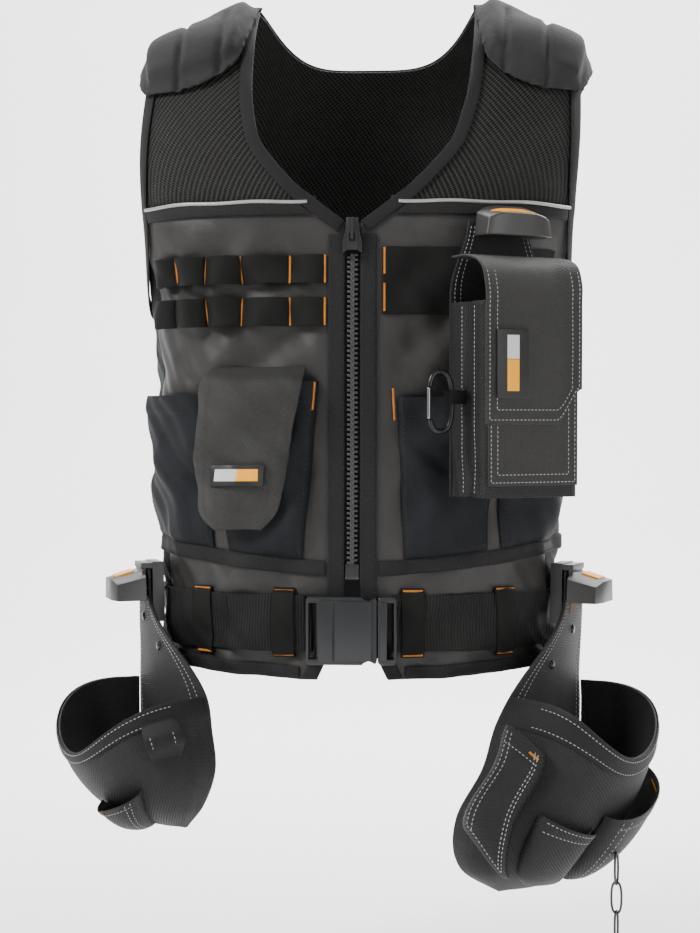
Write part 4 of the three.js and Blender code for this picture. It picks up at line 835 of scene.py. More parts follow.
for word, side in SIDES:
    cloth(f"front_facing_{word}_tape", 6, 110, facing(side), TRIM_WALL, "tape", [f"front_facing_{word}"])
    cloth(f"chest_tape_{word}_strip", 60, 4, chest_tape(side), TRIM_WALL, "tape", [f"chest_tape_{word}"])
WAIST_LEVEL = np.array(-502.0)
HEM_LEVEL = np.array(-float(VEST_DROP))
WAIST_START = (ZIP_OPENING + FACING_WIDTH + 3 * SEAM_GAP) / float(half_girth(WAIST_LEVEL))
HEM_INNER = float(inner_edge(HEM_LEVEL)) + FACING_WIDTH + 2 * SEAM_GAP
HEM_START = HEM_INNER / float(half_girth(HEM_LEVEL))
cloth("waist_band_tape", 260, 4, ring_band(WAIST_START, waist_drop, 13), TRIM_WALL, "tape", ["waist_band"])
cloth("hem_binding_tape", 260, 4,
      ring_band(HEM_START, lambda share: hem_drop(np.minimum(share, 2 - share)) - 11, 11),
      TRIM_WALL, "tape", ["hem_binding"])
INNER_OUT = -1.7
INNER_WALL = 1.2
INNER_HALF = 6


def inner_back(u, v, out):
    z = -CHEST_LINE + mix(-INNER_HALF, INNER_HALF, v)
    return cloth_at(mix(SIDE_BACK, 2 - SIDE_BACK, u) * half_girth(z), z, INNER_OUT + out)


def inner_front(side):
    def place(u, v, out):
        z = -CHEST_LINE + mix(-INNER_HALF, INNER_HALF, v)
        near = neck_foot(CHEST_LINE) + 2
        return cloth_at(side * mix(near, SIDE_FRONT * half_girth(z), u), z, INNER_OUT + out)
    return place


def inner_side(side, share):
    def place(u, v, out):
        z = -mix(VEST_DROP - HEM_RISE - 2, CHEST_LINE + 2, v)
        return cloth_at(side * (share * half_girth(z) + mix(-INNER_HALF, INNER_HALF, u)), z, INNER_OUT + out)
    return place


cloth("inner_seam_back", 90, 3, inner_back, INNER_WALL, "tape")
for word, side in SIDES:
    cloth(f"inner_seam_front_{word}", 50, 3, inner_front(side), INNER_WALL, "tape")
    for name, share in (("fore", SIDE_FRONT), ("rear", SIDE_BACK)):
        cloth(f"inner_seam_{name}_{word}", 3, 90, inner_side(side, share), INNER_WALL, "tape")
print("tapes made")

# %% [markdown]
# Thread is modelled, because a stitch that only sits in a bump vanishes at the edge of the light. Each
# stitch is a small ball of few faces, drawn out along the seam. A bartack is the same stitch laid side by
# side across its line, as a sewing machine lays it.


# %% Stitches, bartacks and tubes
def stitch_matrix(middle, way, side, out, size):
    frame3 = Matrix((way * size[0], side * size[1], out * size[2])).transposed().to_4x4()
    return Matrix.Translation(middle) @ frame3


def thread(name, runs, look, length=3.2, pitch=4.3, width=0.55, height=0.4):
    """Runs of stitches: each run is points in mm, with the outward way at each"""
    form = bmesh.new()
    for points, outs in runs:
        steps = np.concatenate([[0], np.cumsum(np.linalg.norm(np.diff(points, axis=0), axis=-1))])
        count = max(2, int(steps[-1] / pitch))
        for place in (np.arange(count) + 0.5) / count * steps[-1]:
            spots = [np.array([np.interp(place + shift, steps, points[:, axis]) for axis in range(3)])
                     for shift in (-0.4, 0, 0.4)]
            out = np.array([np.interp(place, steps, outs[:, axis]) for axis in range(3)])
            way = Vector(spots[2] - spots[0]).normalized()
            side = Vector(out).cross(way).normalized()
            matrix = stitch_matrix(Vector(spots[1]) * MM, way, side, way.cross(side),
                                   (0.5 * length * MM, width * MM, height * MM))
            bmesh.ops.create_icosphere(form, subdivisions=1, radius=1, matrix=matrix)
    return own(new_object(name, form), look)


def run_on(place, start, end, count=60, out=0.2):
    """A run of points on a piece, between two places on it, with the outward way"""
    u = np.linspace(start[0], end[0], count)
    v = np.linspace(start[1], end[1], count)
    points = place(u, v, np.full(count, out))
    outs = place(u, v, np.full(count, out + 1)) - points
    return points, outs / np.linalg.norm(outs, axis=-1, keepdims=True)


def bartacks(name, lines, look="orange_thread", width=2.8, pitch=0.8):
    """Each line is two points and its outward way, and the strands lie across it"""
    form = bmesh.new()
    for start, end, out in lines:
        start, end, out = Vector(start), Vector(end), Vector(out).normalized()
        way = (end - start).normalized()
        side = out.cross(way).normalized()
        count = max(3, int((end - start).length / pitch))
        for index in range(count + 1):
            middle = start.lerp(end, index / count)
            lean = (side + way * (0.25 if index % 2 else -0.25)).normalized()
            matrix = stitch_matrix(middle * MM, lean, out.cross(lean), out,
                                   (0.5 * width * MM, 0.42 * MM, 0.5 * MM))
            bmesh.ops.create_icosphere(form, subdivisions=1, radius=1, matrix=matrix)
    return own(new_object(name, form), look)


def tube(name, points, radius, look, nodes=(), sides=10, closed=False, body="vest", flat=1.0):
    """A round rod along points, in mm. Flat squeezes it across its first upright."""
    points = np.asarray(points, float)
    count = len(points)
    if closed:
        points = np.vstack([points, points[:1]])
    way = np.gradient(points, axis=0)
    if closed:
        way[0] = way[-1] = points[1] - points[-2]
    way /= np.linalg.norm(way, axis=-1, keepdims=True)
    upright = np.zeros_like(points)
    last = np.array([0.31, 0.17, 0.93])
    for index in range(len(points)):
        across = last - way[index] * (last @ way[index])
        last = across / np.linalg.norm(across)
        upright[index] = last
    if closed:
        upright[-1] = upright[0]
    second = np.cross(way, upright)
    form = bmesh.new()
    steps = len(points) - 1
    bmesh.ops.create_grid(form, x_segments=steps, y_segments=sides, size=0.5)
    for vert in form.verts:
        index = round((vert.co.x + 0.5) * steps)
        turn = 2 * math.pi * (round((vert.co.y + 0.5) * sides) % sides) / sides
        offset = flat * math.cos(turn) * upright[index] + math.sin(turn) * second[index]
        vert.co = Vector(points[index] + radius * offset) * MM
    bmesh.ops.remove_doubles(form, verts=form.verts, dist=0.000005)
    if not closed:
        bmesh.ops.holes_fill(form, edges=[edge for edge in form.edges if edge.is_boundary], sides=0)
    bmesh.ops.recalc_face_normals(form, faces=form.faces)
    obj = new_object(name, form)
    print(name, count, "stops")
    return own(obj, look, nodes, body)


for word, side in SIDES:
    reach = float(SIDE_FRONT * half_girth(np.array(-190.0))) - 12
    line = np.linspace(40, reach, 60)
    level_z = -CHEST_LINE - 0.3 + 0.5 * np.sin(line / 11)
    tube(f"piping_{word}", cloth_at(side * line, level_z, ON_PANEL + 1.0), 1.7, "reflective", sides=8)
print("piping made")

# %% Seams of the front edges and bands
facing_runs = []
for word, side in SIDES:
    face = facing(side)
    for column in (0.14, 0.86):
        facing_runs.append(run_on(face, (column, 0.02), (column, 0.99), 120, TRIM_WALL + 0.1))
    face = chest_tape(side)
    facing_runs.append(run_on(face, (0.02, 0.15), (0.98, 0.15), 60, TRIM_WALL + 0.1))
for start, top, width in ((WAIST_START, waist_drop, 13),
                          (HEM_START, lambda share: hem_drop(np.minimum(share, 2 - share)) - 11, 11)):
    face = ring_band(start, top, width)
    for row in (0.15, 0.85):
        facing_runs.append(run_on(face, (0.005, row), (0.995, row), 300, TRIM_WALL + 0.1))
thread("band_seams", facing_runs, "dark_thread")
print("seams", len(facing_runs))

# %% [markdown]
# The zip is two rows of moulded teeth on a narrow tape. Each tooth is two small blocks, bevelled, and the
# two rows are half a pitch apart, so that they close like the real ones. The slider and pull are the
# carried-over solids, merged and bevelled, because a moulding has no sharp edge.


# %% Zip
def zip_tape(u, v, out):
    z = -mix(ZIP_END + 1, NECK_DROP + 1, v)
    return leaning(skin(mix(-13, 13, u), z, -LAYER_GAP - 1 + out))


cloth("zip_tape_strip", 10, 90, zip_tape, 1.5, "tape", ["zip_chain"])
TOOTH_PITCH = 4.3
form = bmesh.new()
first = -NECK_DROP - 29
for row, side in enumerate((1, -1)):
    heights = np.arange(first - row * TOOTH_PITCH / 2, -ZIP_END + 4, -TOOTH_PITCH)
    middles = leaning(skin(np.full(len(heights), side * 1.7), heights, np.full(len(heights), 0.9)))
    for point in middles:
        matrix = Matrix.Translation(Vector(point) * MM)
        size = Matrix.Diagonal((6.2 * MM, 3.6 * MM, 2.3 * MM, 1))
        bmesh.ops.create_cube(form, size=1, matrix=matrix @ size)
        head = Matrix.Translation(Vector((point[0] - side * 2.6, point[1] - 0.5, point[2])) * MM)
        size = Matrix.Diagonal((1.9 * MM, 3.2 * MM, 3.2 * MM, 1))
        bmesh.ops.create_cube(form, size=1, matrix=head @ size)
bmesh.ops.bevel(form, geom=form.edges, offset=0.35 * MM, offset_type="OFFSET", segments=1, profile=0.5,
                affect="EDGES", material=-1)
own(new_object("zip_teeth", form), "clip_plastic")


def moulded(name, source, bevel, look, segments=3, body="vest", keep=0.06):
    """A carried-over solid, merged, with its flats rejoined and its edges rounded"""
    form = bmesh.new()
    form.from_mesh(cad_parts[source].data)
    bmesh.ops.remove_doubles(form, verts=form.verts, dist=0.00001)
    bmesh.ops.dissolve_limit(form, angle_limit=keep, verts=form.verts, edges=form.edges)
    obj = new_object(name, form)
    for polygon in obj.data.polygons:
        polygon.use_smooth = True
    rounding = obj.modifiers.new("rounding", "BEVEL")
    rounding.width = bevel * MM
    rounding.segments = segments
    rounding.limit_method = "ANGLE"
    rounding.angle_limit = math.radians(30)
    rounding.harden_normals = True
    return own(obj, look, [source], body)


moulded("slider_body", "zip_slider", 0.7, "moulded_plastic")
moulded("slider_pull", "zip_pull", 0.45, "moulded_plastic", body="zip_pull")
STOP_WIDTH = 12


def box_piece(name, cuts, place, bevel, look, nodes=(), body="vest"):
    """A block whose three ways, from 0 to 1, are bent by a function, with rounded edges"""
    form = bmesh.new()
    bmesh.ops.create_cube(form, size=1)
    if cuts:
        bmesh.ops.subdivide_edges(form, edges=form.edges, cuts=cuts, use_grid_fill=True)
    spots = np.array([vert.co for vert in form.verts]) + 0.5
    points = place(spots[:, 0], spots[:, 1], spots[:, 2])
    for index, vert in enumerate(form.verts):
        vert.co = Vector(points[index]) * MM
    if form.calc_volume(signed=True) < 0:
        bmesh.ops.reverse_faces(form, faces=form.faces)
    obj = new_object(name, form)
    rounding = obj.modifiers.new("rounding", "BEVEL")
    rounding.width = bevel * MM
    rounding.segments = 3
    rounding.limit_method = "ANGLE"
    rounding.angle_limit = math.radians(45)
    return own(obj, look, nodes, body)


def zip_stop(u, v, w):
    return leaning(skin(mix(-STOP_WIDTH / 2, STOP_WIDTH / 2, u), mix(-ZIP_END - 6, -ZIP_END + 7, v),
                        mix(-0.4, 3.4, w)))


box_piece("zip_stop", 3, zip_stop, 0.7, "moulded_plastic")
print("zip made")


# %% [markdown]
# Each row of loops is one length of webbing, tacked down at uneven steps, and the slack between two tacks
# stands off the vest. The band on the other side lies flat. The tacks are kept in a list and are all made
# together once the belt is done.

# %% Tool webbing on the chest
TOOL_TACKS = [(0.121, 0), (0.278, 0.24), (0.5, 0.28), (0.667, 0.44), (0.838, 0.44), (0.99, 0.36)]


def tool_loops(row):
    def place(u, v, out):
        last = len(TOOL_TACKS) - 1
        loop = np.minimum(last - 1, np.floor(u * last + 1e-9)).astype(int)
        part = u * last - loop
        tacks = np.array(TOOL_TACKS)
        near = CHEST_HALF * tacks[loop, 0]
        far = CHEST_HALF * tacks[loop + 1, 0]
        rise = 25 * tacks[loop + 1, 1] * np.clip(np.sin(np.pi * part), 0, 1) ** 0.8
        z = -234 - row * 37 - mix(25, 0, v)
        return cloth_at(-mix(near, far, part), z, PANEL_WALL + CLOSE_GAP + rise + out)
    return place


def gear_band(u, v, out):
    z = -227 - mix(59, 0, v)
    return cloth_at(mix(26, 190, u), z, ON_PANEL + out)


tacks = []
for row, word in ((0, "upper"), (1, "lower")):
    place = tool_loops(row)
    cloth(f"tool_loops_{word}_webbing", 100, 8, place, 1.8, "loop_webbing", [f"tool_loops_{word}"])
    for index in range(len(TOOL_TACKS)):
        u = np.full(2, index / (len(TOOL_TACKS) - 1))
        v = np.array([0.03, 0.97])
        points = place(u, v, np.full(2, 2.7))
        tacks.append((points[0], points[1], place(u, v, np.full(2, 3.7))[0] - points[0]))
cloth("gear_band_webbing", 60, 16, gear_band, 1.8, "loop_webbing", ["gear_band"])
GEAR_TACKS = [((0.012, 0.05), (0.012, 0.45)), ((0.012, 0.6), (0.012, 0.98)), ((0.44, 0.75), (0.44, 0.98))]
for start, end in GEAR_TACKS:
    points, outs = run_on(gear_band, start, end, 2, 2.0)
    tacks.append((points[0], points[1], outs[0]))
print("tool webbing made")

# %% [markdown]
# The pockets are open bags sewn down at both sides. Each stands off the vest along a rounded rise, is
# deepest at its mouth, and has a folded hem there. They are charted on the torso too, so they share its
# folds.


# %% Pockets
POCKETS = [("side_right", -1, 0.657, 1.152, 0.5875, 0, 0.71),
           ("front_right", -1, 0.152, 0.641, 0.568, 1, 1),
           ("front_left", 1, 0.202, 0.636, 0.591, 0.43, 0.64),
           ("side_left", 1, 0.652, 1.192, 0.604, 0.29, 0.64)]


def pocket(side, start, end, top, taper, bulge):
    def place(u, v, out):
        inset = 14 * taper * (1 - v)
        along = mix(CHEST_HALF * start + inset, CHEST_HALF * end - inset, u)
        foot = waist_drop(along / float(half_girth(WAIST_LEVEL))) - SEAM_GAP
        level_part = np.clip(1 - np.abs(2 * u - 1) ** 3, 0, 1)
        rise = 14 * bulge * np.sqrt(level_part * np.clip(1 - np.clip(1 - v, 0, 1) ** 3, 0, 1))
        sag = 0.9 * np.sin(7 * u + 3 * v) * smooth(4 * u) * smooth(4 * (1 - u))
        hem = 0.9 * smooth((v - 0.87) / 0.02)
        z = -mix(foot, VEST_DROP * top, v)
        return cloth_at(side * along, z, ON_PANEL + rise - np.abs(sag) * smooth(3 * v) + hem + out)
    return place


pocket_runs = []
for name, side, start, end, top, taper, bulge in POCKETS:
    place = pocket(side, start, end, top, taper, bulge)
    cloth(f"pocket_{name}_cloth", 42, 48, place, TRIM_WALL, "side_cloth", [f"pocket_{name}"])
    pocket_runs.append(run_on(place, (0.03, 0.88), (0.97, 0.88), 60, TRIM_WALL - 0.1))
    pocket_runs.append(run_on(place, (0.04, 0.02), (0.04, 0.97), 60, TRIM_WALL + 0.05))
    pocket_runs.append(run_on(place, (0.96, 0.02), (0.96, 0.97), 60, TRIM_WALL + 0.05))
thread("pocket_seams", pocket_runs, "dark_thread")
place = pocket(*POCKETS[1][1:])
points, outs = run_on(place, (0.02, 0.84), (0.02, 0.99), 2, 2.0)
tacks.append((points[0], points[1], outs[0]))
place = pocket(*POCKETS[2][1:])
points, outs = run_on(place, (-0.05, 0.86), (-0.05, 1.05), 2, 2.0)
tacks.append((points[0], points[1], outs[0]))
print("pockets made")

# %% [markdown]
# The tongue-shaped flap is read from a table of its two edges and its rise. It is dished inside a rolled
# rim, and its label is bent with it.

# %% Tongue-shaped flap pouch
TONGUE = np.array([(0, 0.202, 0.636, 0), (0.1, 0.212, 0.646, 1), (0.4, 0.253, 0.662, 0.92),
                   (0.75, 0.293, 0.677, 0.79), (0.9, 0.323, 0.662, 0.71), (1, 0.394, 0.591, 0.625)])


def tongue_at(u, way, rise):
    along = CHEST_HALF * mix(reading(TONGUE, 1, way), reading(TONGUE, 2, way), u)
    out = 24 * reading(TONGUE, 3, way) * (1 - 0.2 * (2 * u - 1) ** 4)
    return cloth_at(-along, -334 - 140 * way, ON_PANEL + out + rise)


def tongue_face(u, v, out):
    edge = np.minimum(np.minimum(u, 1 - u) * 4.2, v * 5.2)
    dish = -0.9 * smooth((edge - 0.42) / 0.1)
    wrinkle = 0.7 * np.sin(9 * u + 5 * v) * np.sin(6 * v) * smooth(2 * edge)
    return tongue_at(u, 1 - v, 1.6 + dish + wrinkle + out)


cloth("pouch_flap_canvas", 44, 72, tongue_face, 3.0, "canvas", ["pouch_flap_right"], edge=1.2)


def tongue_label(u, v, w):
    return tongue_at(mix(0.2, 0.78, u), mix(0.73, 0.6, v), mix(5, 7.2, w))


def tongue_white(u, v, w):
    return tongue_at(mix(0.5, 0.73, u), mix(0.7, 0.625, v), mix(6.8, 7.7, w))


def tongue_orange(u, v, w):
    return tongue_at(mix(0.26, 0.5, u), mix(0.7, 0.625, v), mix(6.8, 7.7, w))


box_piece("flap_label", 8, tongue_label, 0.7, "label", ["tongue_label"])
box_piece("flap_label_light", 4, tongue_white, 0.25, "white_print")
box_piece("flap_label_orange", 4, tongue_orange, 0.25, "orange_plastic")
print("flap pouch made")


# %% [markdown]
# The belt goes once round the vest over the cloth. Each loop is sewn down above and below the belt and
# rises over it, and the one that also holds the spare end stands higher.

# %% Belt, its loops and its tail
def belt(u, v, out):
    z = BELT_LEVEL + mix(-25, 25, v)
    start = (float(inner_edge(np.array(-581.0))) + 14 + SEAM_GAP) / float(half_girth(np.array(BELT_LEVEL)))
    return cloth_at(mix(start, 2 - start, u) * half_girth(z), z, ON_PANEL + out)


def belt_tail(u, v, out):
    z = BELT_LEVEL + mix(-24.5, 24.5, v)
    return cloth_at(-mix(40.3, 112.3, u), z, ON_PANEL + 3.3 + out)


BELT_LOOPS = [("front_right", -0.123, 1), ("front_left", 0.108, 0), ("side_right", -0.285, 0),
              ("side_left", 0.285, 0), ("back_right", -0.8, 0), ("back_left", 0.8, 0)]


def belt_loop(share, clear):
    def place(u, v, out):
        reach = 2.9 + clear * 3.3
        rise = reach * smooth(np.minimum(v, 1 - v) / 0.08)
        z = BELT_LEVEL + (v - 0.5) * 60
        along = share * float(half_girth(np.array(BELT_LEVEL))) + (u - 0.5) * 20
        return cloth_at(along, z, ON_PANEL + rise + out)
    return place


cloth("belt_ribbed", 300, 10, belt, 2.2, "webbing", ["belt_webbing"])
cloth("belt_tail_ribbed", 30, 10, belt_tail, 2.2, "webbing", ["belt_tail"])
for name, share, clear in BELT_LOOPS:
    place = belt_loop(share, clear)
    cloth(f"belt_loop_{name}_webbing", 8, 40, place, TRIM_WALL, "loop_webbing", [f"belt_loop_{name}"])
    for row in (0.97, 0.03):
        points, outs = run_on(place, (0.08, row), (0.92, row), 2, 1.7)
        tacks.append((points[0], points[1], outs[0]))
bartacks("vest_bartacks", tacks)
print("belt made")

# %% [markdown]
# The buckle keeps its carried-over solids with softer edges, and thin raised plates give its face the steps
# that a moulding has.

# %% Buckle
moulded("buckle_socket_shell", "buckle_socket", 0.7, "moulded_plastic", segments=4)
moulded("buckle_plug_shell", "buckle_plug", 1.6, "moulded_plastic", segments=4)
BUCKLE_FRONT = -146.2
BUCKLE_MIDDLE = -561


def buckle_plate(near, far, half, rise):
    def place(u, v, w):
        z = BUCKLE_MIDDLE + mix(-half, half, v)
        return np.stack([mix(near, far, u), BUCKLE_FRONT - rise * w, z], -1)
    return place


BUCKLE_PLATES = [("bar", -28.6, -16.0, 27, 1.8), ("cover", -14.4, 17.6, 26, 2.2),
                 ("catch", 24.6, 31.0, 25, 1.6)]
for name, near, far, half, rise in BUCKLE_PLATES:
    box_piece(f"buckle_{name}_plate", 0, buckle_plate(near, far, half, rise), 0.6, "moulded_plastic")
print("buckle made")


# %% [markdown]
# The shoulder pads are foam in three parts, quilted through a matte cloth. The closed form is remeshed and
# blown up a little as cloth under pressure, which rounds the foam between its seams. Remeshing wipes narrow
# seams out, so the two channels are pressed in afterwards, on the outer face only.

# %% Shoulder pads
PAD_START = 98
PAD_END = 203
PAD_REACH = 87


def pad_height(p, q):
    edge = np.minimum(1 - np.abs(p), 1 - np.abs(q))
    crown = smooth((edge - 0.12) / 0.14)
    return mix(2.6, 11, crown)


def pad_point(side, u, v, w):
    p = 2 * u - 1
    q = 2 * v - 1
    across = p * np.sqrt(1 - 0.4 * q * q)
    along = q * np.sqrt(1 - 0.4 * p * p)
    x = mix(PAD_START, PAD_END, (across + 1) / 2)
    return shoulder_at(side * x, along * PAD_REACH / CHEST_LINE, ON_TRIM + 0.8 + w * pad_height(p, q))


VOXEL = 0.0024
PRESSURE = 4
LAST_FRAME = 12
LARGEST_MOVE = 0.0012


def swollen(obj):
    """The pad as cloth under pressure, held to a few millimetres of movement"""
    remesh = obj.modifiers.new("remesh", "REMESH")
    remesh.mode = "VOXEL"
    remesh.voxel_size = VOXEL
    remesh.use_smooth_shade = True
    bpy.context.view_layer.objects.active = obj
    bpy.ops.object.modifier_apply(modifier="remesh")
    rest = np.array([vert.co for vert in obj.data.vertices])
    blow = obj.modifiers.new("blow", "CLOTH")
    blow.settings.use_pressure = True
    blow.settings.uniform_pressure_force = PRESSURE
    blow.settings.effector_weights.gravity = 0
    blow.settings.quality = 5
    for number in range(1, LAST_FRAME + 1):
        bpy.context.scene.frame_set(number)
    bpy.ops.object.modifier_apply(modifier="blow")
    bpy.context.scene.frame_set(1)
    moved = np.array([vert.co for vert in obj.data.vertices]) - rest
    reach = np.linalg.norm(moved, axis=-1, keepdims=True)
    moved *= np.minimum(1, LARGEST_MOVE / np.maximum(reach, 1e-9))
    for index, vert in enumerate(obj.data.vertices):
        vert.co = Vector(rest[index] + moved[index])


CHANNELS = (-0.42, 0.3)
CHANNEL_DEPTH = 4.2
CHANNEL_SHARE = 0.055


def pressed(obj, side):
    """Sewn channels, pressed into the outer face only"""
    points = np.array([vert.co for vert in obj.data.vertices]) / MM
    normals = np.array([vert.normal for vert in obj.data.vertices])
    out = outward(points)
    upright_x = points[:, 0] - SHOULDER_LEAN * smooth(1 + points[:, 2] / CHEST_LINE)
    across = 2 * (side * upright_x - PAD_START) / (PAD_END - PAD_START) - 1
    press = sum(np.exp(-((across - place) / CHANNEL_SHARE) ** 2) for place in CHANNELS)
    facing_out = smooth(((normals * out).sum(-1) - 0.1) / 0.4)
    ends = smooth((PAD_REACH - np.abs(points[:, 1]) + 4) / 14)
    points -= out * (CHANNEL_DEPTH * press * facing_out * ends)[:, None]
    for index, vert in enumerate(obj.data.vertices):
        vert.co = Vector(points[index]) * MM


for word, side in SIDES:
    obj = box_piece(f"shoulder_pad_{word}_foam", 34, lambda u, v, w, side=side: pad_point(side, u, v, w),
                    0.5, "pad_cloth", [f"shoulder_pad_{word}"])
    obj.modifiers.clear()
    swollen(obj)
    pressed(obj, side)
    sub = obj.modifiers.new("smooth", "SUBSURF")
    sub.levels = 1
    sub.render_levels = 1
print("pads made")

# %% [markdown]
# The pouches hang in groups of their own, each turned to its place round the body. A small function
# carries a point from the group's own way of counting, across, out and up, to the vest's frame.


# %% Chest pouch
def placed(position, yaw):
    turn = math.radians(yaw)
    cos, sin = math.cos(turn), math.sin(turn)

    def carry(x, out, z):
        x, out, z = np.broadcast_arrays(*(np.asarray(value, float) for value in (x, out, z)))
        return np.stack([position[0] + cos * x + sin * out, position[1] + sin * x - cos * out,
                         position[2] + z], -1)
    return carry


chest = placed((125.454, -123.0375, -240.0), 33)
POUCH_HALF = 49
BAG_START = 3.4
POUCH_DEPTH = 52
SHELL_HALF = POUCH_HALF - 2
SHELL_DEPTH = POUCH_DEPTH - 2
FLAP = np.array([(0, 0, 0), (0.13, 0.45, 0), (0.27, 0.86, 0.06), (0.38, 1, 0.2), (0.5, 1, 0.34), (1, 1, 1)])


def chest_back(u, v, out):
    z = mix(-204, 34, v)
    half = POUCH_HALF * mix(1, 0.62, smooth((z + 30) / 64))
    return chest((2 * u - 1) * half, out, z)


def chest_shell(u, v, out):
    """The bag's wall: u runs round from one back edge to the other, v from the foot to the mouth"""
    way = mix(-1, 1, u) * (SHELL_HALF + SHELL_DEPTH)
    side = np.sign(way)
    length = np.abs(way)
    corner = 7
    straight = SHELL_HALF - corner
    arc = corner * np.pi / 2
    turn = np.clip((length - straight) / arc, 0, 1) * np.pi / 2
    x = side * np.where(length < straight, length, straight + corner * np.sin(turn))
    beyond = np.maximum(0, length - straight - arc)
    whole = SHELL_HALF + SHELL_DEPTH - straight - arc
    depth = SHELL_DEPTH - corner * (1 - np.cos(turn)) - beyond * (SHELL_DEPTH - corner) / whole
    fold = 5.5 * np.exp(-((depth - 24) / 5) ** 2) * np.where(turn >= np.pi / 2, 1, 0)
    crumple = 1.6 * np.sin(depth / 4 + v * 9) * np.where(turn >= np.pi / 2, smooth((0.45 - v) / 0.4), 0)
    z = mix(-204, -38, v)
    way_x = side * np.sin(turn)
    across = x - side * (fold + np.abs(crumple)) + way_x * out
    return chest(across, BAG_START + depth + np.cos(turn) * out, z)


def chest_flap(u, v, out):
    way = 1 - v
    low = 142 - 30 * smooth((u - 0.72) / 0.28)
    depth = BAG_START + POUCH_DEPTH * reading(FLAP, 1, way) + 0.9
    z = -low * reading(FLAP, 2, way)
    steep = smooth(way / 0.4)
    bow = (1.1 + 0.8 * np.sin(way * 11)) * np.sin(np.pi * u) * steep
    return chest((2 * u - 1) * 49.5, depth + (out + bow) * steep, z + out * (1 - steep))


cloth("chest_back_canvas", 16, 30, chest_back, 3.0, "dark_canvas", ["chest_pouch_back"])
cloth("chest_bag_canvas", 110, 40, chest_shell, 2.0, "dark_canvas", ["chest_pouch_body"], edge=0.6)
cloth("chest_flap_canvas", 44, 80, chest_flap, 2.0, "canvas", ["chest_pouch_flap"], edge=0.7)


def chest_foot(u, v, w):
    x = mix(-SHELL_HALF + 2, SHELL_HALF - 2, u)
    return chest(x, mix(BAG_START, BAG_START + SHELL_DEPTH - 2, v), mix(-203.5, -201, w))


box_piece("chest_bag_foot", 0, chest_foot, 1.0, "dark_canvas")


def chest_front(u, v, out):
    return chest((2 * u - 1) * 46, BAG_START + POUCH_DEPTH + 0.05 + out, mix(-194, -104, v))


cloth("chest_front_panel", 20, 30, chest_front, 0.7, "canvas", edge=0.3)


def clip_cap(carry, width, depth, shift, z0, out0):
    def place(u, v, w):
        across = 2 * u - 1
        rise = 1 - 0.25 * np.abs(across) ** 4
        z = mix(0, 28 * (1 - 0.3 * w) * rise, v)
        narrow = 1 - 0.08 * v
        ahead = out0 + w * depth * (1 - 0.15 * across ** 4)
        return carry(shift + across * width / 2 * narrow, ahead, z0 + z)
    return place


cap = clip_cap(chest, 68, 24, 8, 20, 3.4)
box_piece("chest_clip_cap", 10, cap, 4.5, "clip_plastic", ["chest_pouch_clip"])


def chest_inlay(u, v, w):
    slant = mix(0.24, 0.1, v)
    face = np.full_like(u, 1) + mix(-0.02, 0.035, w)
    return cap(mix(slant, slant + 0.5, u), face, mix(0.55, 0.92, 1 - v))


box_piece("chest_clip_inlay", 5, chest_inlay, 0.8, "orange_plastic")
print("chest pouch made")


# %% Chest pouch: stitches, label and carabiner
def border(place, inset_u, inset_v, foot=0.0, cut=False, out=2.1):
    """A run round a flap's sides and foot, set in from its edge"""
    left = run_on(place, (inset_u, 0.99), (inset_u, foot + inset_v), 50, out)
    low = run_on(place, (inset_u, foot + inset_v), (1 - inset_u, foot + inset_v), 50, out)
    right = run_on(place, (1 - inset_u, foot + inset_v), (1 - inset_u, 0.99), 50, out)
    return [left, low, right]


white_runs = border(chest_flap, 0.035, 0.02) + border(chest_flap, 0.11, 0.065)
for inset in (3, 9.5):
    u = inset / 92
    v = inset / 90
    white_runs += border(chest_front, u, v, out=0.75)
for u in (0.09, 0.2, 0.8, 0.91):
    white_runs.append(run_on(chest_shell, (u, 0.02), (u, 0.98), 60, 2.1))
for inset in (0.04, 0.1):
    white_runs.append(run_on(chest_back, (inset, 0.02), (inset, 0.98), 60, 3.1))
    white_runs.append(run_on(chest_back, (1 - inset, 0.02), (1 - inset, 0.98), 60, 3.1))
thread("chest_stitches", white_runs, "white_thread", length=2.9, pitch=3.7, width=0.46, height=0.4)
FLAP_OUT = BAG_START + POUCH_DEPTH + 2.9


def chest_label(x0, x1, z0, z1, low, thick):
    def place(u, v, w):
        return chest(mix(x0, x1, u), FLAP_OUT + mix(low, low + thick, w), mix(z0, z1, v))
    return place


box_piece("chest_label_plate", 0, chest_label(-40, -8, -120, -62, 0.9, 1.5), 0.5, "label", ["chest_label"])
box_piece("chest_label_light", 2, chest_label(-30, -18, -87, -67, 2.2, 0.8), 0.25, "white_print")
box_piece("chest_label_orange", 2, chest_label(-30, -18, -114, -87.4, 2.2, 0.8), 0.25, "orange_plastic")

CARABINER_WIDTH = 23
CARABINER_GAP = 12.5
CARABINER_OUT = 24
EYE_X = -POUCH_HALF - CARABINER_GAP - CARABINER_WIDTH / 2
EYE_Z = -98


def oval(width, length, power, share):
    across, up = np.cos(2 * np.pi * share), np.sin(2 * np.pi * share)
    x = width / 2 * np.sign(across) * np.abs(across) ** power
    z = length / 2 * (np.sign(up) * np.abs(up) ** power - 1)
    return x, z


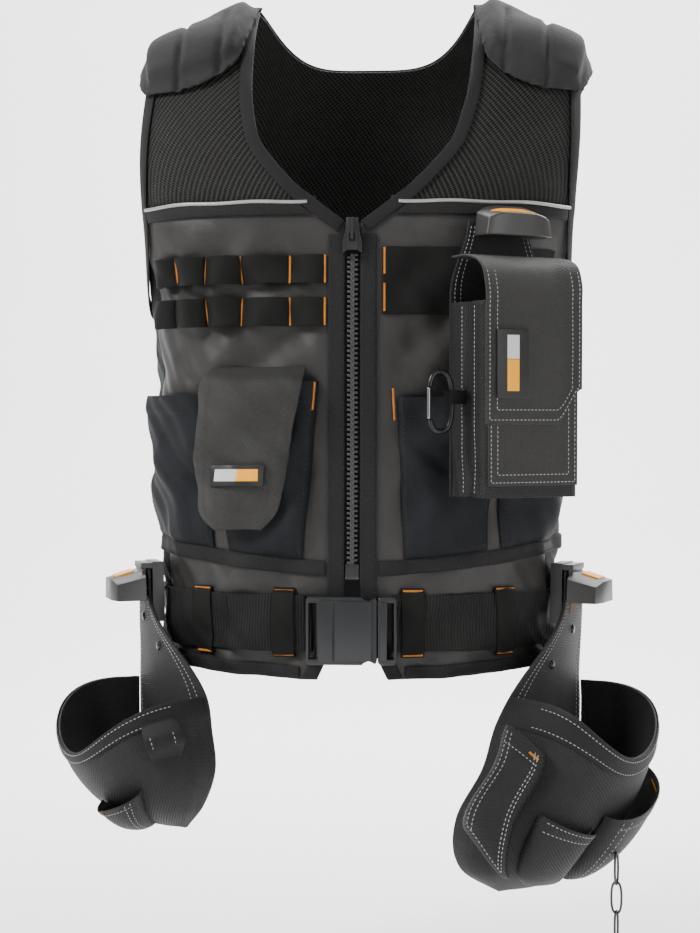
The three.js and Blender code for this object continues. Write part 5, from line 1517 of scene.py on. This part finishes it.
share = np.linspace(0.5, 1.5, 161)
x, z = oval(CARABINER_WIDTH, 50, 0.75, share)
kept = ~((x < -CARABINER_WIDTH / 2 + 5) & (z > -40) & (z < -12))
tube("carabiner_body_wire", chest(EYE_X + x[kept], CARABINER_OUT, EYE_Z + z[kept]), 2.5, "dark_metal",
     ["carabiner"], sides=14)
gate = np.linspace(-39.1, -12.9, 20)
tube("carabiner_gate_wire", chest(EYE_X - CARABINER_WIDTH / 2, CARABINER_OUT, EYE_Z + gate), 1.6, "steel",
     ["carabiner_gate"], sides=12, body="carabiner_gate")
moulded("carabiner_tab_webbing", "carabiner_tab", 0.4, "webbing")
print("chest pouch finished")


# %% [markdown]
# Each hip pouch is a bent back panel that carries one deep bag, smaller pockets on it, and a moulded clip
# over the belt. The bag is a shell that leaves the panel along a rounded rise. Its pockets stand off that
# face along its own outward way.

# %% Hip pouches: chart
HIP_OUTLINE = np.array([(0, -0.75, 0.1, 0.1), (0.14, -0.75, 0.2, 0.2), (0.34, -0.5, 1.1, 1.1),
                        (0.46, -0.55, 1.45, 1.45), (0.6, -0.5, 1.65, 1.55), (0.75, -0.4, 2.0, 1.6),
                        (0.9, -0.1, 1.95, 1.4), (1, 0.1, 1.4, 1.1)])

HIP_BEND = 240
HIP_TOP = 42
HIP_HALF = 78
HIP_YAW = 68


class Hip:
    """One hip pouch: its place, its outline and the ways onto its bag"""

    def __init__(self, side, length, position):
        self.side = side
        self.length = length
        self.column = 2 if side > 0 else 3
        self.carry = placed(position, side * HIP_YAW)

    def at(self, forward, out, z):
        angle = forward / HIP_BEND
        reach = HIP_BEND + out
        return self.carry(-self.side * reach * np.sin(angle), reach * np.cos(angle) - HIP_BEND, z)

    def edge(self, column, z):
        return HIP_HALF * reading(HIP_OUTLINE, column, (HIP_TOP - z) / (HIP_TOP + self.length))

    def back(self, u, v, out):
        z = mix(-self.length, HIP_TOP, v)
        return self.at(mix(self.edge(1, z), self.edge(self.column, z), u), out, z)

    def bag(self, u, v, out):
        rim = -62 - 50 * np.clip(np.sin(np.pi * np.clip(u, 0, 1)), 0, 1) ** 1.5
        z = mix(-self.length + 2, rim, v)
        across = np.clip(1 - np.abs(2 * u - 1) ** 3, 0, 1)
        up = np.clip(1 - np.clip(1 - v, 0, 1) ** 1.6, 0, 1)
        rise = np.sqrt(across * up)
        return self.at(mix(self.edge(1, z), self.edge(self.column, z), u), 3.4 + 84 * rise + out, z)

    def on_bag(self, u, v, out):
        step = 0.01
        face = self.bag(u, v, 2)
        across = self.bag(np.minimum(1, u + step), v, 2) - self.bag(np.maximum(0, u - step), v, 2)
        up = self.bag(u, v + step, 2) - self.bag(u, v - step, 2)
        way = np.cross(across, up)
        way /= np.linalg.norm(way, axis=-1, keepdims=True)
        return face - self.side * way * np.asarray(out, float)[..., None]


left_hip = Hip(1, 228, (189.956, -61.5586, BELT_LEVEL))
right_hip = Hip(-1, 180, (-189.956, -61.5586, BELT_LEVEL))


def patch(hip, corners, depth, power, low=CLOSE_GAP, hem=0.0):
    """A pocket on the bag between four corners: foot rear, foot front, top rear, top front"""
    def place(u, v, out):
        foot = [mix(corners[0][axis], corners[1][axis], u) for axis in (0, 1)]
        top = [mix(corners[2][axis], corners[3][axis], u) for axis in (0, 1)]
        rise = np.sqrt(np.clip(1 - np.abs(2 * u - 1) ** power, 0, 1)
                       * np.clip(1 - np.clip(1 - v, 0, 1) ** power, 0, 1))
        band = hem * smooth((v - 0.86) / 0.02)
        return hip.on_bag(mix(foot[0], top[0], v), mix(foot[1], top[1], v), low + depth * rise + band + out)
    return place


print("hip pouch charts ready")

# %% Hip pouches: shells
hip_runs = []
hip_tacks = []
for hip, word in ((left_hip, "left"), (right_hip, "right")):
    cloth(f"hip_{word}_back_panel", 30, 60, hip.back, 3.0, "dark_canvas", [f"hip_{word}_back"], edge=1.0)
    cloth(f"hip_{word}_bag_canvas", 64, 56, hip.bag, 2.0, "dark_canvas", [f"hip_{word}_bag"], edge=0.6)

    def rim(u, v, out, hip=hip):
        return hip.on_bag(u, mix(0.86, 1.0, v), 0.35 + 0.5 * (1 - (2 * v - 1) ** 4) + out)
    cloth(f"hip_{word}_rim_tape", 80, 8, rim, 1.3, "tape", edge=0.5)
    for row in (0.16, 0.78):
        hip_runs.append(run_on(rim, (0.03, row), (0.97, row), 120, 1.5))
    for inset in (0.07, 0.13):
        hip_runs.append(run_on(hip.back, (inset, 0.35), (inset, 0.93), 80, 3.2))
        hip_runs.append(run_on(hip.back, (1 - inset, 0.35), (1 - inset, 0.93), 80, 3.2))
flat_corners = ((0.87, 0.13), (0.993, 0.37), (0.92, 0.78), (0.993, 0.86))
tool_corners = ((0.14, 0.1), (0.52, 0.07), (0.08, 0.62), (0.55, 0.6))
holder_corners = ((0.62, 0.05), (0.8, 0.05), (0.58, 0.4), (0.84, 0.42))
HIP_PIECES = [
    ("hip_left_flat_pocket", left_hip, flat_corners, 15, 8, "dark_canvas"),
    ("hip_left_tool_pocket", left_hip, tool_corners, 15, 3, "dark_canvas"),
    ("hip_right_holder", right_hip, holder_corners, 15, 3, "dark_canvas"),
]
for name, hip, corners, depth, power, look in HIP_PIECES:
    place = patch(hip, corners, depth, power, hem=0.8)
    points, outs = run_on(place, (0.1, 0.93), (0.34, 0.93), 2, TRIM_WALL + 0.8)
    hip_tacks.append((points[0], points[1], outs[0]))
    cloth(f"{name}_canvas", 36, 40, place, TRIM_WALL, look, [name])
    for inset in (0.12, 0.2):
        hip_runs.append(run_on(place, (inset, 0.1), (inset, 0.97), 50, TRIM_WALL + 0.1))
        hip_runs.append(run_on(place, (1 - inset, 0.1), (1 - inset, 0.97), 50, TRIM_WALL + 0.1))
    hip_runs.append(run_on(place, (0.12, 0.1), (0.88, 0.1), 50, TRIM_WALL + 0.1))
    hip_runs.append(run_on(place, (0.12, 0.87), (0.88, 0.87), 50, TRIM_WALL + 0.1))


def hammer_loop(u, v, out):
    rise = 17 * np.sin(np.pi * v)
    return right_hip.on_bag(mix(0.9, 0.97, u), mix(0.62, 0.9, v), 0.35 + rise + out)


cloth("hip_right_loop_webbing", 8, 40, hammer_loop, 1.8, "tape", ["hip_right_loop"])
hip_runs.append(run_on(hammer_loop, (0.2, 0.02), (0.2, 0.98), 40, 1.9))
hip_runs.append(run_on(hammer_loop, (0.8, 0.02), (0.8, 0.98), 40, 1.9))
round_place = patch(left_hip, ((0.58, 0.07), (0.82, 0.07), (0.57, 0.5), (0.83, 0.52)), 10, 3, hem=0.8)
cloth("hip_left_round_pocket", 30, 36, round_place, TRIM_WALL, "dark_canvas")
for row in (0.86, 0.96):
    hip_runs.append(run_on(round_place, (0.08, row), (0.92, row), 50, TRIM_WALL + 0.3))
RIVET_RADIUS = 4.2
form = bmesh.new()
for hip in (left_hip, right_hip):
    for u, v in ((0.5, 0.8), (0.7, 0.7)):
        spots = hip.back(np.array([u, u]), np.array([v, v]), np.array([3.0, 4.0]))
        out = Vector(spots[1] - spots[0]).normalized()
        turn = out.to_track_quat("Z", "Y").to_matrix().to_4x4()
        size = Matrix.Diagonal((RIVET_RADIUS * MM, RIVET_RADIUS * MM, 1.8 * MM, 1))
        bmesh.ops.create_uvsphere(form, u_segments=20, v_segments=10, radius=1,
                                  matrix=Matrix.Translation(Vector(spots[0]) * MM) @ turn @ size)
    for u in (0.24, 0.76):
        points, outs = run_on(hip.back, (u, 0.86), (u, 0.94), 2, 3.9)
        hip_tacks.append((points[0], points[1], outs[0]))
own(new_object("hip_rivets", form), "dark_metal")


def back_strip(near, far):
    def place(u, v, w):
        return left_hip.back(mix(near, far, u), mix(0.885, 0.915, v), mix(3.1, 4.0, w))
    return place


box_piece("hip_strip_light", 4, back_strip(0.3, 0.44), 0.12, "white_print")
box_piece("hip_strip_orange", 4, back_strip(0.44, 0.7), 0.12, "orange_plastic")
bartacks("hip_bartacks", hip_tacks)
thread("hip_stitches", hip_runs, "white_thread", length=2.9, pitch=3.9, width=0.44, height=0.4)
print("hip shells made")

# %% Hip pouches: clips, inlays and chain
for hip, word in ((left_hip, "left"), (right_hip, "right")):
    moulded(f"hip_{word}_clip_shell", f"hip_{word}_clip", 1.1, "clip_plastic", segments=3, keep=0.12)
    angle = 10 / HIP_BEND

    def carry(x, out, z, hip=hip, angle=angle):
        reach = HIP_BEND + 5.2
        seat = (-hip.side * reach * math.sin(-angle), reach * math.cos(angle) - HIP_BEND)
        turn = hip.side * angle
        local_x = x * math.cos(turn) + out * math.sin(turn) + seat[0]
        local_out = -x * math.sin(turn) + out * math.cos(turn) + seat[1]
        return hip.carry(local_x, local_out, 14 + z)
    cap = clip_cap(carry, 56, 31, 0, 0, 0)

    def inlay(u, v, w, cap=cap):
        return cap(mix(0.28, 0.72, u), 1 + mix(-0.03, 0.05, w), mix(0.3, 0.8, v))
    box_piece(f"hip_{word}_clip_inlay", 5, inlay, 0.8, "orange_plastic")

start = left_hip.on_bag(np.array(0.42), np.array(0.36), 0.7 + 0.87 * 15 + 1.2 + 1.1 + 0.4)
turn = math.radians(HIP_YAW)
PITCH = 29 - 4.4 + 0.3


def link_points(number):
    x, z = oval(9, 26.8, 0.8, np.linspace(0, 1, 48, endpoint=False))
    flat = np.zeros_like(x)
    yaw = turn + (math.pi / 2 if number % 2 else 0)
    return start + np.stack([x * math.cos(yaw) + flat, x * math.sin(yaw), z - number * PITCH], -1)


for number in range(4):
    tube(f"chain_link_{number + 1}", link_points(number), 1.1, "chain_steel",
         ["tape_chain"] if number == 0 else (), sides=8, closed=True)
foot = start - np.array([0, 0, 4 * PITCH])
lean = 0.5
bar = np.linspace(-14.5, 14.5, 12)
bar_points = foot + np.stack([bar * math.sin(lean) * math.cos(turn), bar * math.sin(lean) * math.sin(turn),
                              bar * math.cos(lean)], -1)
tube("chain_toggle", bar_points, 1.6, "chain_steel", sides=10)
print("clips and chain made")

# %% [markdown]
# The large sewn pieces are listed, and the flat size each is cut to is printed. A vest's cloth is cut to
# shape, so each flat size is the piece's own width and length, measured along the cloth, and its area is
# the cut's.

# %% Sheets
SHEETS = [
    ("back_panel_cloth", "hung", "back_yoke_mesh"),
    ("front_panel_left_cloth", "hung", "front_yoke_left_mesh"),
    ("front_panel_right_cloth", "hung", "front_yoke_right_mesh"),
    ("side_panel_left_cloth", "hung", "front_panel_left_cloth"),
    ("side_panel_right_cloth", "hung", "front_panel_right_cloth"),
    ("back_yoke_mesh", "stretched", "shoulder_pad_left_foam"),
    ("front_yoke_left_mesh", "stretched", "back_yoke_mesh"),
    ("front_yoke_right_mesh", "stretched", "back_yoke_mesh"),
    ("pocket_side_right_cloth", "gathered", "side_panel_right_cloth"),
    ("pocket_front_right_cloth", "gathered", "front_panel_right_cloth"),
    ("pocket_front_left_cloth", "gathered", "front_panel_left_cloth"),
    ("pocket_side_left_cloth", "gathered", "side_panel_left_cloth"),
    ("pouch_flap_canvas", "folded", "pocket_front_right_cloth"),
    ("chest_flap_canvas", "folded", "chest_bag_canvas"),
    ("chest_bag_canvas", "folded", "chest_back_canvas"),
    ("hip_left_bag_canvas", "folded", "hip_left_back_panel"),
    ("hip_right_bag_canvas", "folded", "hip_right_back_panel"),
]
for name, held, rests in SHEETS:
    width, length, area = FLAT[name]
    print(name, round(width * 1000), round(length * 1000), round(area, 4))

# %% [markdown]
# A plain pale room: one floor that sweeps up behind, and broad soft lights, so that the dark cloth shows
# its folds by their sheen.

# %% Floor and light
form = bmesh.new()
bmesh.ops.create_grid(form, x_segments=2, y_segments=40, size=0.5)
FLOOR = -0.905
FLOOR_WIDTH = 14
SWEEP = 1.5
for vert in form.verts:
    way = (vert.co.y + 0.5) * 12
    rise = max(0, way - 6)
    bend = min(rise, SWEEP)
    height = FLOOR + SWEEP - SWEEP * math.cos(bend) + max(0, rise - SWEEP)
    vert.co = Vector((vert.co.x * FLOOR_WIDTH, -4 + min(way, 6) + SWEEP * math.sin(bend), height))
floor = new_object("floor", form)
pale = bpy.data.materials.new("pale_floor")
pale.use_nodes = True
pale.node_tree.nodes["Principled BSDF"].inputs["Base Color"].default_value = (0.9, 0.9, 0.9, 1)
pale.node_tree.nodes["Principled BSDF"].inputs["Roughness"].default_value = 0.9
floor.data.materials.append(pale)

world = bpy.data.worlds.new("studio")
bpy.context.scene.world = world
world.use_nodes = True
world.node_tree.nodes["Background"].inputs["Color"].default_value = (1, 1, 1, 1)
world.node_tree.nodes["Background"].inputs["Strength"].default_value = 0.6


def light(name, place, aim, size, power):
    data = bpy.data.lights.new(name, "AREA")
    data.shape = "RECTANGLE"
    data.size = size[0]
    data.size_y = size[1]
    data.energy = power
    obj = bpy.data.objects.new(name, data)
    obj.location = place
    obj.rotation_euler = (Vector(aim) - Vector(place)).to_track_quat("-Z", "Y").to_euler()
    bpy.context.scene.collection.objects.link(obj)
    return obj


light("key", (-2.2, -1.5, 1.7), (0, 0, -0.35), (1.0, 1.0), 120)
light("fill", (2.2, -2.2, 0.2), (0, 0, -0.4), (1.6, 1.6), 28)
light("rim", (1.6, 1.4, 1.3), (0, 0, -0.2), (1.0, 1.0), 50)
light("sweep", (0, 0.9, 1.6), (0, 3.0, -0.5), (3.0, 1.0), 260)
print("lights", 4)
